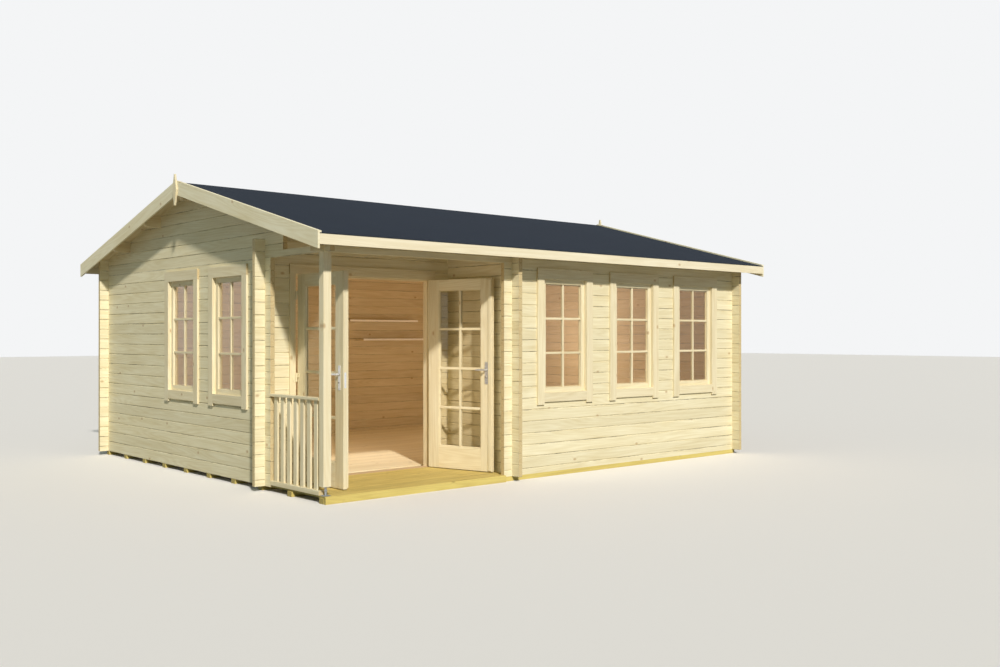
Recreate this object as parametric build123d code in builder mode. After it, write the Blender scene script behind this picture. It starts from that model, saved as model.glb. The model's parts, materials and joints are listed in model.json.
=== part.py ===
from build123d import *
from math import ceil, cos, radians, sin, tan
import os

os.makedirs("parts", exist_ok=True)

# A garden log cabin with a corner porch and a double door, in millimetres.
# X runs along the ridge, Y from the front wall to the back wall, Z up from the ground.
# The origin is on the ground below the middle of the roof.

# Plan of the log walls, measured over their outer faces
LENGTH = 5675
WIDTH = 4785
PORCH_LENGTH = 2100
PORCH_DEPTH = 994

# Logs, which cross at the corners with their ends running past
LOG = 44
COURSE = 114
LOG_END = 100
LOG_BEVEL = 6
COURSES_OVER_DOOR = 2
PORCH_BEAM_COURSES = 1.5
PORCH_SIDE_COURSES = 0.5

# Bearers, floor and deck
BEARER_HEIGHT = 45
BEARER_WIDTH = 70
BEARERS = 10
FLOOR_THICKNESS = 19
DECK_THICKNESS = 18
DECK_FRONT = 30
DECK_SIDE = 12
EDGE_BOARD = 20

# Roof
ROOF_ANGLE = 14.68
ROOF_BOARD = 18
FELT = 5
VERGE = 199
EAVES = 246
PURLIN_WIDTH = 58
PURLIN_HEIGHT = 110
RIDGE_HEIGHT = 150
LOW_PURLIN = 670
HIGH_PURLIN = 1500
PURLIN_END_CUT = 45
BARGE_THICKNESS = 18
BARGE_DEPTH = 128
MITRE_GAP = 0.5
FASCIA_HEIGHT = 87
FELT_LAP = 4
STRIP_WIDTH = 34
STRIP_THICKNESS = 14
STRIP_BEVEL = 10
FINIAL_WIDTH = 84
FINIAL_TIP = 14
FINIAL_HEIGHT = 309
FINIAL_RISE = 62

# Corner post, its adjustable foot and the railing
POST = 75
FOOT_HEIGHT = 79
FOOT_PLATE = 60
FOOT_PLATE_THICKNESS = 6
FOOT_ROD = 10
RAIL_TOP = 880
HANDRAIL_WIDTH = 56
HANDRAIL_THICKNESS = 24
BOTTOM_RAIL_WIDTH = 45
BOTTOM_RAIL_HEIGHT = 41
BALUSTER_WIDTH = 57
BALUSTER_THICKNESS = 20
BALUSTER_GAP = 54.5

# Windows
WINDOW_WIDTH = 600
WINDOW_HEIGHT = 1128
FRONT_WINDOWS = 3
FRONT_WINDOW_START = 720
FRONT_WINDOW_END = 755
GABLE_WINDOWS = 2
GABLE_WINDOW_START = 711
GABLE_WINDOW_PITCH = 1025
LINING = 30
LINING_DEPTH = 60
CASING = 92
CASING_HEAD = 105
CASING_THICKNESS = 20
CASING_HORN = 26
INSIDE_CASING = 75
SASH = 48
SASH_DEPTH = 42
SASH_SETBACK = 15
GLASS = 4
GLASS_GROOVE = 8

# Doorway and door leaves
DOORWAY_START = 305
DOORWAY_WIDTH = 1560
DOORWAY_HEIGHT = 1965
JAMB = 45
JAMB_FLANGE = 60
JAMB_DEPTH = 109
HEAD_HEIGHT = 91
HEAD_CLEARANCE = 18
STOP = 13
THRESHOLD_HEIGHT = 20
LEAF_THICKNESS = 40
LEAF_GAP = 5
MEETING_GAP = 9
STILE = 128
TOP_RAIL = 105
BOTTOM_RAIL = 218
LEFT_LEAF_OPEN = 90
RIGHT_LEAF_OPEN = 105

# Hinges and lever handles
KNUCKLE_RADIUS = 8
KNUCKLE_HEIGHT = 40
KNUCKLE_GAP = 0.3
PIN_RADIUS = 4
PIN_CLEARANCE = 0.06
HINGE_PLATE = 4
HINGE_PLATE_WIDTH = 34
HINGE_STANDOFF = 9
HINGE_INSET = 190
HANDLE_HEIGHT = 1063
HANDLE_INSET = 62
HANDLE_PLATE_WIDTH = 34
HANDLE_PLATE_HEIGHT = 215
HANDLE_PLATE = 4
HANDLE_BELOW = 31
SPINDLE_RADIUS = 5
SPINDLE_CLEARANCE = 0.08
LEVER_REACH = 42
LEVER_LENGTH = 112
LEVER_RADIUS = 7.5
LEVER_GAP = 0.3

# Wall shelves inside
SHELF_DEPTH = 200
SHELF_THICKNESS = 26
SHELF_LENGTH = 1150
UPPER_SHELF = (3798, 1617)
LOWER_SHELF = (4016, 1354)

# Places worked out from the sizes above
LEFT, RIGHT = -LENGTH / 2, LENGTH / 2
FRONT, BACK = -WIDTH / 2, WIDTH / 2
PORCH_X = LEFT + PORCH_LENGTH
DOOR_Y = FRONT + PORCH_DEPTH
BASE = BEARER_HEIGHT
FLOOR_TOP = BASE + FLOOR_THICKNESS
DECK_TOP = BASE + DECK_THICKNESS
THRESHOLD_TOP = BASE + THRESHOLD_HEIGHT
DOOR_COURSES = ceil((DOORWAY_HEIGHT + HEAD_CLEARANCE - BASE) / COURSE - 0.5) + 0.5
DOOR_HEAD_Z = BASE + DOOR_COURSES * COURSE
EAVES_TOP = DOOR_HEAD_Z + COURSES_OVER_DOOR * COURSE
PORCH_TOP = EAVES_TOP - PORCH_BEAM_COURSES * COURSE
PORCH_SIDE_TOP = PORCH_TOP + PORCH_SIDE_COURSES * COURSE
WINDOW_MIDDLE = DOORWAY_HEIGHT - LEAF_GAP - WINDOW_HEIGHT / 2
ROOF_SLOPE = tan(radians(ROOF_ANGLE))
BOARD_RISE = ROOF_BOARD / cos(radians(ROOF_ANGLE))
FELT_RISE = FELT / cos(radians(ROOF_ANGLE))
STRIP_RISE = STRIP_THICKNESS / cos(radians(ROOF_ANGLE))
ROOF_LEFT, ROOF_RIGHT = LEFT - VERGE, RIGHT + VERGE
ROOF_LENGTH = ROOF_RIGHT - ROOF_LEFT
FASCIA_OUT = WIDTH / 2 + EAVES + BARGE_THICKNESS


def roof_line(y):
    """Underside of the roof boards at a distance y from the ridge."""
    return EAVES_TOP + ROOF_SLOPE * (WIDTH / 2 - abs(y))


def joints_between(low, high, offset):
    """Heights of the joints between courses that lie inside a wall from low to high."""
    count = int((high - BASE) / COURSE) + 2
    levels = [BASE + (course + offset) * COURSE for course in range(count)]
    return [z for z in levels if low + LOG_BEVEL < z < high - LOG_BEVEL]


def notch_levels(low, high, offset):
    """Heights of the joints whose notches reach into a wall from low to high."""
    count = int((high - BASE) / COURSE) + 2
    levels = [BASE + (course + offset) * COURSE for course in range(count)]
    return [z for z in levels if low - COURSE / 4 < z < high + COURSE / 4]


def bevel_joints(plane, faces, joints, run):
    """Cuts the bevelled edges of the logs along both faces of a wall."""
    with BuildSketch(plane) as section:
        with Locations(*[(face, z) for face in faces for z in joints]):
            Rectangle(LOG_BEVEL * 2**0.5, LOG_BEVEL * 2**0.5, rotation=45)
    extrude(section.sketch, amount=run, mode=Mode.SUBTRACT)


def notch_corner(x, y, levels):
    """Takes a quarter of a log off above and below each joint, where another wall crosses."""
    with Locations(*[(x + LOG / 2, y + LOG / 2, z) for z in levels]):
        Box(LOG, LOG, COURSE / 2, mode=Mode.SUBTRACT)


def wall_along_x(start, end, y, low, high=None):
    """A wall of logs along X, its face at y; without a height its top follows the roof."""
    tops = [high or roof_line(y), high or roof_line(y + LOG)]
    with BuildSketch(Plane.YZ.offset(start)) as section:
        Polygon((y, low), (y + LOG, low), (y + LOG, tops[1]), (y, tops[0]), align=None)
    extrude(section.sketch, amount=end - start)
    joints = joints_between(low, min(tops), 0.5)
    bevel_joints(Plane.YZ.offset(start), (y, y + LOG), joints, end - start)


def bevel_wall_along_y(x, start, end, low, high):
    """Bevels the log joints of a wall along Y, its face at x."""
    joints = joints_between(low, high, 0)
    bevel_joints(Plane.XZ.offset(-start), (x, x + LOG), joints, start - end)


def purlin_section(y):
    """Section of a purlin whose top lies against the roof boards."""
    edges = (y - PURLIN_WIDTH / 2, y + PURLIN_WIDTH / 2)
    low = roof_line(y) - PURLIN_HEIGHT
    Polygon((edges[0], low), (edges[1], low), (edges[1], roof_line(edges[1])),
            (edges[0], roof_line(edges[0])), align=None)


def ridge_section():
    """Section of the ridge beam with its top bevelled both ways."""
    half = PURLIN_WIDTH / 2
    low = roof_line(0) - RIDGE_HEIGHT
    Polygon((-half, low), (half, low), (half, roof_line(half)), (0, roof_line(0)),
            (-half, roof_line(half)), align=None)


PURLIN_PLACES = [FRONT + LOW_PURLIN, FRONT + HIGH_PURLIN, BACK - HIGH_PURLIN, BACK - LOW_PURLIN]


def cut_purlin_seats(x):
    """Cuts the seats of the ridge beam and the purlins out of a gable wall at x."""
    with BuildSketch(Plane.YZ.offset(x)) as section:
        ridge_section()
        for place in PURLIN_PLACES:
            purlin_section(place)
    extrude(section.sketch, amount=LOG, mode=Mode.SUBTRACT)


def front_window_planes():
    """Planes on the front wall's outer face at the middle of each window."""
    first, last = PORCH_X + FRONT_WINDOW_START, RIGHT - FRONT_WINDOW_END
    pitch = (last - first) / (FRONT_WINDOWS - 1)
    return [Plane(origin=(first + n * pitch, FRONT, WINDOW_MIDDLE),
                  x_dir=(1, 0, 0), z_dir=(0, -1, 0)) for n in range(FRONT_WINDOWS)]


def gable_window_planes():
    """Planes on the left gable wall's outer face at the middle of each window."""
    return [Plane(origin=(LEFT, DOOR_Y + GABLE_WINDOW_START + n * GABLE_WINDOW_PITCH, WINDOW_MIDDLE),
                  x_dir=(0, -1, 0), z_dir=(-1, 0, 0)) for n in range(GABLE_WINDOWS)]


def cut_windows(planes):
    """Cuts the openings that the window linings fill."""
    for plane in planes:
        with BuildSketch(plane) as section:
            Rectangle(WINDOW_WIDTH + 2 * LINING, WINDOW_HEIGHT + 2 * LINING)
        extrude(section.sketch, amount=-LOG, mode=Mode.SUBTRACT)


def save(builder, name):
    """Labels a finished piece and writes its file."""
    builder.part.label = name
    export_step(builder.part, f"parts/{name}.step")


# Foundation bearers: parallel beams from gable to gable, flat on the ground
with BuildPart() as foundation_bearers:
    pitch = (WIDTH - BEARER_WIDTH) / (BEARERS - 1)
    with GridLocations(0, pitch, 1, BEARERS):
        Box(LENGTH, BEARER_WIDTH, BEARER_HEIGHT, align=(Align.CENTER, Align.CENTER, Align.MIN))
save(foundation_bearers, "foundation_bearers")

# Walls: the X walls start with a half log, so their joints fall midway between those of the Y walls
with BuildPart() as front_wall:
    wall_along_x(PORCH_X - LOG_END, RIGHT + LOG_END, FRONT, BASE, PORCH_TOP)
    for corner_x in (PORCH_X, RIGHT - LOG):
        notch_corner(corner_x, FRONT, notch_levels(BASE, PORCH_TOP - COURSE / 2, 0.5))
    cut_windows(front_window_planes())
save(front_wall, "front_wall")

with BuildPart() as front_beam:
    wall_along_x(LEFT - LOG_END, RIGHT + LOG_END, FRONT, PORCH_TOP)
    for corner_x in (PORCH_X, RIGHT - LOG):
        notch_corner(corner_x, FRONT, notch_levels(PORCH_TOP + COURSE / 2, EAVES_TOP + COURSE / 2, 0.5))
    with Locations((LEFT + LOG / 2, FRONT + LOG / 2, PORCH_SIDE_TOP - COURSE / 8)):
        Box(LOG, LOG, COURSE / 4, mode=Mode.SUBTRACT)
save(front_beam, "front_beam")

with BuildPart() as back_wall:
    wall_along_x(LEFT - LOG_END, RIGHT + LOG_END, BACK - LOG, BASE)
    for corner_x in (LEFT, RIGHT - LOG):
        notch_corner(corner_x, BACK - LOG, notch_levels(BASE, EAVES_TOP + COURSE / 4, 0.5))
save(back_wall, "back_wall")

with BuildPart() as left_gable_wall:
    start, end = DOOR_Y - LOG_END, BACK + LOG_END
    with BuildSketch(Plane.YZ.offset(LEFT)):
        Polygon((start, BASE), (end, BASE), (end, PORCH_TOP), (start, PORCH_TOP), align=None)
    extrude(amount=LOG)
    bevel_wall_along_y(LEFT, start, end, BASE, PORCH_TOP)
    for corner_y in (DOOR_Y, BACK - LOG):
        notch_corner(LEFT, corner_y, notch_levels(BASE, PORCH_TOP, 0))
    cut_windows(gable_window_planes())
save(left_gable_wall, "left_gable_wall")

with BuildPart() as left_gable_top:
    start, step, end = FRONT - LOG_END, FRONT + LOW_PURLIN, BACK + LOG_END
    with BuildSketch(Plane.YZ.offset(LEFT)):
        Polygon((start, PORCH_TOP), (end, PORCH_TOP), (end, roof_line(end)), (0, roof_line(0)),
                (step, roof_line(step)), (step, PORCH_SIDE_TOP), (start, PORCH_SIDE_TOP), align=None)
    extrude(amount=LOG)
    bevel_wall_along_y(LEFT, start, end, PORCH_TOP, roof_line(0))
    for corner_y in (DOOR_Y, BACK - LOG):
        notch_corner(LEFT, corner_y, notch_levels(PORCH_TOP, EAVES_TOP - COURSE / 2, 0))
    with Locations((LEFT + LOG / 2, FRONT + LOG / 2, PORCH_TOP + COURSE / 8)):
        Box(LOG, LOG, COURSE / 4, mode=Mode.SUBTRACT)
    cut_purlin_seats(LEFT)
save(left_gable_top, "left_gable_top")

with BuildPart() as right_gable_wall:
    start, end = FRONT - LOG_END, BACK + LOG_END
    with BuildSketch(Plane.YZ.offset(RIGHT - LOG)):
        Polygon((start, BASE), (end, BASE), (end, PORCH_TOP), (start, PORCH_TOP), align=None)
    extrude(amount=LOG)
    bevel_wall_along_y(RIGHT - LOG, start, end, BASE, PORCH_TOP)
    for corner_y in (FRONT, BACK - LOG):
        notch_corner(RIGHT - LOG, corner_y, notch_levels(BASE, PORCH_TOP, 0))
save(right_gable_wall, "right_gable_wall")

with BuildPart() as right_gable_top:
    start, end = FRONT - LOG_END, BACK + LOG_END
    with BuildSketch(Plane.YZ.offset(RIGHT - LOG)):
        Polygon((start, PORCH_TOP), (end, PORCH_TOP), (end, roof_line(end)), (0, roof_line(0)),
                (start, roof_line(start)), align=None)
    extrude(amount=LOG)
    bevel_wall_along_y(RIGHT - LOG, start, end, PORCH_TOP, roof_line(0))
    for corner_y in (FRONT, BACK - LOG):
        notch_corner(RIGHT - LOG, corner_y, notch_levels(PORCH_TOP, EAVES_TOP - COURSE / 2, 0))
    cut_purlin_seats(RIGHT - LOG)
save(right_gable_top, "right_gable_top")

with BuildPart() as porch_wall:
    start, end = FRONT - LOG_END, DOOR_Y + LOG + LOG_END
    with BuildSketch(Plane.YZ.offset(PORCH_X)):
        Polygon((start, BASE), (end, BASE), (end, roof_line(end)), (start, roof_line(start)), align=None)
    extrude(amount=LOG)
    bevel_wall_along_y(PORCH_X, start, end, BASE, roof_line(end))
    notch_corner(PORCH_X, FRONT, notch_levels(BASE, EAVES_TOP - COURSE / 2, 0))
    notch_corner(PORCH_X, DOOR_Y, notch_levels(BASE, roof_line(DOOR_Y), 0))
    with BuildSketch(Plane.YZ.offset(PORCH_X)):
        purlin_section(FRONT + LOW_PURLIN)
    extrude(amount=LOG, mode=Mode.SUBTRACT)
save(porch_wall, "porch_wall")

# Door wall: split beside and over the doorway
DOORWAY_LEFT = LEFT + DOORWAY_START
DOORWAY_RIGHT = DOORWAY_LEFT + DOORWAY_WIDTH
WALL_END_LEFT, WALL_END_RIGHT = DOORWAY_LEFT - JAMB, DOORWAY_RIGHT + JAMB
INNER_END = PORCH_X + LOG + LOG_END

with BuildPart() as door_wall_left:
    wall_along_x(LEFT - LOG_END, WALL_END_LEFT, DOOR_Y, BASE, DOOR_HEAD_Z)
    notch_corner(LEFT, DOOR_Y, notch_levels(BASE, DOOR_HEAD_Z, 0.5))
save(door_wall_left, "door_wall_left")

with BuildPart() as door_wall_right:
    wall_along_x(WALL_END_RIGHT, INNER_END, DOOR_Y, BASE, DOOR_HEAD_Z)
    notch_corner(PORCH_X, DOOR_Y, notch_levels(BASE, DOOR_HEAD_Z, 0.5))
save(door_wall_right, "door_wall_right")

with BuildPart() as door_wall_head:
    wall_along_x(LEFT - LOG_END, INNER_END, DOOR_Y, DOOR_HEAD_Z)
    notch_corner(LEFT, DOOR_Y, notch_levels(DOOR_HEAD_Z, EAVES_TOP, 0.5))
    notch_corner(PORCH_X, DOOR_Y, notch_levels(DOOR_HEAD_Z, roof_line(DOOR_Y + LOG), 0.5))
    above_eaves = roof_line(0) - EAVES_TOP
    with Locations((LEFT + LOG, DOOR_Y, EAVES_TOP)):
        Box(LOG + LOG_END, LOG, above_eaves, align=(Align.MAX, Align.MIN, Align.MIN), mode=Mode.SUBTRACT)
save(door_wall_head, "door_wall_head")

# Door frame: channels that clasp the log ends, with a stop behind the leaves
CASING_FACE = DOOR_Y - CASING_THICKNESS
JAMB_BACK = CASING_FACE + JAMB_DEPTH
STOP_FACE = CASING_FACE + LEAF_THICKNESS + LEAF_GAP


def jamb_section(face, out):
    """Plan of a door jamb whose rebate face is at x; out points to the wall it clasps."""
    Polygon((face, CASING_FACE), (face, STOP_FACE), (face - out * STOP, STOP_FACE),
            (face - out * STOP, JAMB_BACK), (face + out * JAMB_FLANGE, JAMB_BACK),
            (face + out * JAMB_FLANGE, DOOR_Y + LOG), (face + out * JAMB, DOOR_Y + LOG),
            (face + out * JAMB, DOOR_Y), (face + out * JAMB_FLANGE, DOOR_Y),
            (face + out * JAMB_FLANGE, CASING_FACE), align=None)


with BuildPart() as door_jambs:
    with BuildSketch(Plane.XY.offset(THRESHOLD_TOP)):
        jamb_section(DOORWAY_LEFT, -1)
        jamb_section(DOORWAY_RIGHT, 1)
    extrude(amount=DOORWAY_HEIGHT - THRESHOLD_TOP)
save(door_jambs, "door_jambs")

with BuildPart() as door_head:
    head_top = DOORWAY_HEIGHT + HEAD_HEIGHT
    with BuildSketch(Plane.YZ.offset(DOORWAY_LEFT - JAMB_FLANGE)):
        Polygon((CASING_FACE, DOORWAY_HEIGHT), (JAMB_BACK, DOORWAY_HEIGHT), (JAMB_BACK, head_top),
                (DOOR_Y + LOG, head_top), (DOOR_Y + LOG, DOOR_HEAD_Z), (DOOR_Y, DOOR_HEAD_Z),
                (DOOR_Y, head_top), (CASING_FACE, head_top), align=None)
    extrude(amount=DOORWAY_WIDTH + 2 * JAMB_FLANGE)
    with BuildSketch(Plane.YZ.offset(DOORWAY_LEFT + STOP)):
        Polygon((STOP_FACE, DOORWAY_HEIGHT - STOP), (JAMB_BACK, DOORWAY_HEIGHT - STOP),
                (JAMB_BACK, DOORWAY_HEIGHT), (STOP_FACE, DOORWAY_HEIGHT), align=None)
    extrude(amount=DOORWAY_WIDTH - 2 * STOP)
    for wall_end, side in ((WALL_END_LEFT, Align.MAX), (WALL_END_RIGHT, Align.MIN)):
        with Locations((wall_end, DOOR_Y, DOORWAY_HEIGHT)):
            Box(JAMB_FLANGE, LOG, HEAD_HEIGHT, align=(side, Align.MIN, Align.MIN), mode=Mode.SUBTRACT)
save(door_head, "door_head")


def threshold_outline():
    """Plan of the threshold, as wide as the jambs stand on either face of the wall."""
    for low, high, reach in ((CASING_FACE, DOOR_Y, JAMB_FLANGE), (DOOR_Y, DOOR_Y + LOG, JAMB),
                             (DOOR_Y + LOG, JAMB_BACK, JAMB_FLANGE)):
        Polygon((DOORWAY_LEFT - reach, low), (DOORWAY_RIGHT + reach, low), (DOORWAY_RIGHT + reach, high),
                (DOORWAY_LEFT - reach, high), align=None)


with BuildPart() as door_threshold:
    with BuildSketch(Plane.XY.offset(BASE)):
        threshold_outline()
    extrude(amount=THRESHOLD_HEIGHT)
save(door_threshold, "door_threshold")

# Room floor: fills the room up to the log walls and the threshold
with BuildPart() as room_floor:
    with BuildSketch(Plane.XY.offset(BASE)):
        Polygon((LEFT + LOG, DOOR_Y + LOG), (PORCH_X + LOG, DOOR_Y + LOG), (PORCH_X + LOG, FRONT + LOG),
                (RIGHT - LOG, FRONT + LOG), (RIGHT - LOG, BACK - LOG), (LEFT + LOG, BACK - LOG),
                align=None)
        with Locations((DOORWAY_LEFT - JAMB_FLANGE, DOOR_Y)):
            Rectangle(DOORWAY_WIDTH + 2 * JAMB_FLANGE, JAMB_BACK - DOOR_Y,
                      align=(Align.MIN, Align.MIN), mode=Mode.SUBTRACT)
        with Locations((PORCH_X, DOOR_Y)):
            Rectangle(LOG, LOG + LOG_END, align=(Align.MIN, Align.MIN), mode=Mode.SUBTRACT)
            Rectangle(LOG + LOG_END, LOG, align=(Align.MIN, Align.MIN), mode=Mode.SUBTRACT)
    extrude(amount=FLOOR_THICKNESS)
save(room_floor, "room_floor")

# Porch deck with a board along its front edge
with BuildPart() as porch_deck:
    deck_front = FRONT - DECK_FRONT + EDGE_BOARD
    with BuildSketch(Plane.XY.offset(BASE)):
        Polygon((LEFT + DECK_SIDE, deck_front), (PORCH_X - LOG_END, deck_front),
                (PORCH_X - LOG_END, FRONT + LOG), (PORCH_X, FRONT + LOG), (PORCH_X, DOOR_Y),
                (DOORWAY_RIGHT + JAMB_FLANGE, DOOR_Y), (DOORWAY_RIGHT + JAMB_FLANGE, CASING_FACE),
                (DOORWAY_LEFT - JAMB_FLANGE, CASING_FACE), (DOORWAY_LEFT - JAMB_FLANGE, DOOR_Y),
                (LEFT + LOG, DOOR_Y), (LEFT + LOG, DOOR_Y - LOG_END),
                (LEFT + DECK_SIDE, DOOR_Y - LOG_END), align=None)
    extrude(amount=DECK_THICKNESS)
save(porch_deck, "porch_deck")

with BuildPart() as deck_edge_board:
    with Locations((LEFT, FRONT - DECK_FRONT, 0)):
        Box(PORCH_LENGTH - LOG_END, EDGE_BOARD, DECK_TOP, align=(Align.MIN, Align.MIN, Align.MIN))
    chamfer(deck_edge_board.edges().filter_by(Axis.X).group_by(Axis.Z)[-1].sort_by(Axis.Y)[0], length=3)
save(deck_edge_board, "deck_edge_board")

# Corner post under the crossing of the porch beams, on an adjustable steel foot
with BuildPart() as corner_post:
    with Locations((LEFT, FRONT, DECK_TOP + FOOT_HEIGHT)):
        Box(POST, POST, PORCH_TOP - DECK_TOP - FOOT_HEIGHT, align=(Align.MIN, Align.MIN, Align.MIN))
    chamfer(corner_post.edges().filter_by(Axis.Z), length=3)
save(corner_post, "corner_post")

with BuildPart() as post_foot:
    foot_x, foot_y = LEFT + DECK_SIDE + FOOT_PLATE / 2, FRONT + POST / 2
    with Locations((foot_x, foot_y, DECK_TOP)):
        Box(FOOT_PLATE, FOOT_PLATE, FOOT_PLATE_THICKNESS, align=(Align.CENTER, Align.CENTER, Align.MIN))
        Cylinder(FOOT_ROD, FOOT_HEIGHT, align=(Align.CENTER, Align.CENTER, Align.MIN))
    with Locations((foot_x, foot_y, DECK_TOP + FOOT_HEIGHT)):
        Box(FOOT_PLATE, FOOT_PLATE, FOOT_PLATE_THICKNESS, align=(Align.CENTER, Align.CENTER, Align.MAX))
    with BuildSketch(Plane.XY.offset(DECK_TOP + FOOT_HEIGHT / 2)):
        with Locations((foot_x, foot_y)):
            RegularPolygon(radius=FOOT_ROD * 1.7, side_count=6)
    extrude(amount=FOOT_ROD)
save(post_foot, "post_foot")

# Railing between the gable's log ends and the post: boards between a flat handrail and a bottom rail
with BuildPart() as porch_railing:
    rail_start, rail_end = FRONT + POST, DOOR_Y - LOG_END
    rail_run = rail_end - rail_start
    rail_x = LEFT + BOTTOM_RAIL_WIDTH / 2
    board_low, board_high = DECK_TOP + BOTTOM_RAIL_HEIGHT, RAIL_TOP - HANDRAIL_THICKNESS
    with Locations((rail_x, rail_start, DECK_TOP)):
        Box(BOTTOM_RAIL_WIDTH, rail_run, BOTTOM_RAIL_HEIGHT, align=(Align.CENTER, Align.MIN, Align.MIN))
    with Locations((rail_x, rail_start, board_high)):
        Box(HANDRAIL_WIDTH, rail_run, HANDRAIL_THICKNESS, align=(Align.CENTER, Align.MIN, Align.MIN))
    chamfer(porch_railing.edges().filter_by(Axis.Y).group_by(Axis.Z)[-1], length=4)
    baluster_pitch = BALUSTER_WIDTH + BALUSTER_GAP
    balusters = int((rail_run - BALUSTER_GAP / 2) / baluster_pitch)
    with BuildSketch(Plane.XY.offset(board_low)):
        with Locations((rail_x, (rail_start + rail_end) / 2)):
            with GridLocations(0, baluster_pitch, 1, balusters):
                Rectangle(BALUSTER_THICKNESS, BALUSTER_WIDTH)
    extrude(amount=board_high - board_low)
save(porch_railing, "porch_railing")

# Roof beams: the ridge and four purlins, seated in the gables
with BuildPart() as roof_purlins:
    with BuildSketch(Plane.YZ.offset(ROOF_LEFT)):
        ridge_section()
        for place in PURLIN_PLACES:
            purlin_section(place)
    extrude(amount=ROOF_LENGTH)
    ends = [e for beam in roof_purlins.solids()
            for e in beam.edges().filter_by(Axis.Y).group_by(Axis.Z)[0]]
    chamfer(ends, length=PURLIN_END_CUT)
save(roof_purlins, "roof_purlins")


def roof_layer(side, outer, below, rise):
    """Section of one slope's layer from its eaves to the ridge, below above the roof line."""
    Polygon((side * outer, roof_line(outer) + below), (0, roof_line(0) + below),
            (0, roof_line(0) + below + rise), (side * outer, roof_line(outer) + below + rise), align=None)


for name, side in (("front", -1), ("back", 1)):
    with BuildPart() as roof_boards:
        with BuildSketch(Plane.YZ.offset(ROOF_LEFT)):
            roof_layer(side, WIDTH / 2 + EAVES, 0, BOARD_RISE)
        extrude(amount=ROOF_LENGTH)
    save(roof_boards, f"roof_boards_{name}")

    with BuildPart() as roof_felt:
        with BuildSketch(Plane.YZ.offset(ROOF_LEFT)):
            roof_layer(side, FASCIA_OUT + FELT_LAP, BOARD_RISE, FELT_RISE)
        extrude(amount=ROOF_LENGTH)
    save(roof_felt, f"roof_felt_{name}")

# Fascia boards along the eaves, with the felt lapped over their tops
with BuildPart() as fascia_boards:
    inner = WIDTH / 2 + EAVES
    low = roof_line(FASCIA_OUT) + BOARD_RISE - FASCIA_HEIGHT
    with BuildSketch(Plane.YZ.offset(ROOF_LEFT)):
        for side in (-1, 1):
            Polygon((side * FASCIA_OUT, low), (side * inner, low),
                    (side * inner, roof_line(inner) + BOARD_RISE),
                    (side * FASCIA_OUT, roof_line(FASCIA_OUT) + BOARD_RISE), align=None)
    extrude(amount=ROOF_LENGTH)
save(fascia_boards, "fascia_boards")


def barge_section(side):
    """Side view of a barge board from the eaves to the mitre at the apex."""
    top = BOARD_RISE + FELT_RISE
    mitre = side * MITRE_GAP
    Polygon((side * FASCIA_OUT, roof_line(FASCIA_OUT) + top - BARGE_DEPTH),
            (mitre, roof_line(mitre) + top - BARGE_DEPTH), (mitre, roof_line(mitre) + top),
            (side * FASCIA_OUT, roof_line(FASCIA_OUT) + top), align=None)


for name, start in (("left", ROOF_LEFT - BARGE_THICKNESS), ("right", ROOF_RIGHT)):
    with BuildPart() as barge_boards:
        with BuildSketch(Plane.YZ.offset(start)):
            barge_section(-1)
            barge_section(1)
        extrude(amount=BARGE_THICKNESS)
    save(barge_boards, f"{name}_barge_boards")

# Bevelled strips that hold the felt down along the verges
with BuildPart() as roof_strips:
    strip_base = BOARD_RISE + FELT_RISE
    for start, bevel_side in ((ROOF_LEFT - BARGE_THICKNESS, 0),
                              (ROOF_RIGHT + BARGE_THICKNESS - STRIP_WIDTH, -1)):
        for side in (-1, 1):
            mitre = side * MITRE_GAP
            with BuildSketch(Plane.YZ.offset(start)):
                Polygon((side * FASCIA_OUT, roof_line(FASCIA_OUT) + strip_base),
                        (mitre, roof_line(mitre) + strip_base),
                        (mitre, roof_line(mitre) + strip_base + STRIP_RISE),
                        (side * FASCIA_OUT, roof_line(FASCIA_OUT) + strip_base + STRIP_RISE), align=None)
            extrude(amount=STRIP_WIDTH)
            top_face = roof_strips.faces(Select.LAST).sort_by(Axis.Z)[-1]
            chamfer(top_face.edges().sort_by(Axis.X)[bevel_side], length=STRIP_BEVEL)
save(roof_strips, "roof_strips")

# Finials: lozenge boards with cut points over the mitres of the barge boards
with BuildPart() as gable_finials:
    finial_top = roof_line(0) + BOARD_RISE + FELT_RISE + STRIP_RISE + FINIAL_RISE
    finial_low, finial_middle = finial_top - FINIAL_HEIGHT, finial_top - FINIAL_HEIGHT / 2
    half, tip = FINIAL_WIDTH / 2, FINIAL_TIP / 2
    for start in (ROOF_LEFT - 2 * BARGE_THICKNESS, ROOF_RIGHT + BARGE_THICKNESS):
        with BuildSketch(Plane.YZ.offset(start)):
            Polygon((-tip, finial_top), (-half, finial_middle), (-tip, finial_low),
                    (tip, finial_low), (half, finial_middle), (tip, finial_top), align=None)
        extrude(amount=BARGE_THICKNESS)
save(gable_finials, "gable_finials")


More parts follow.
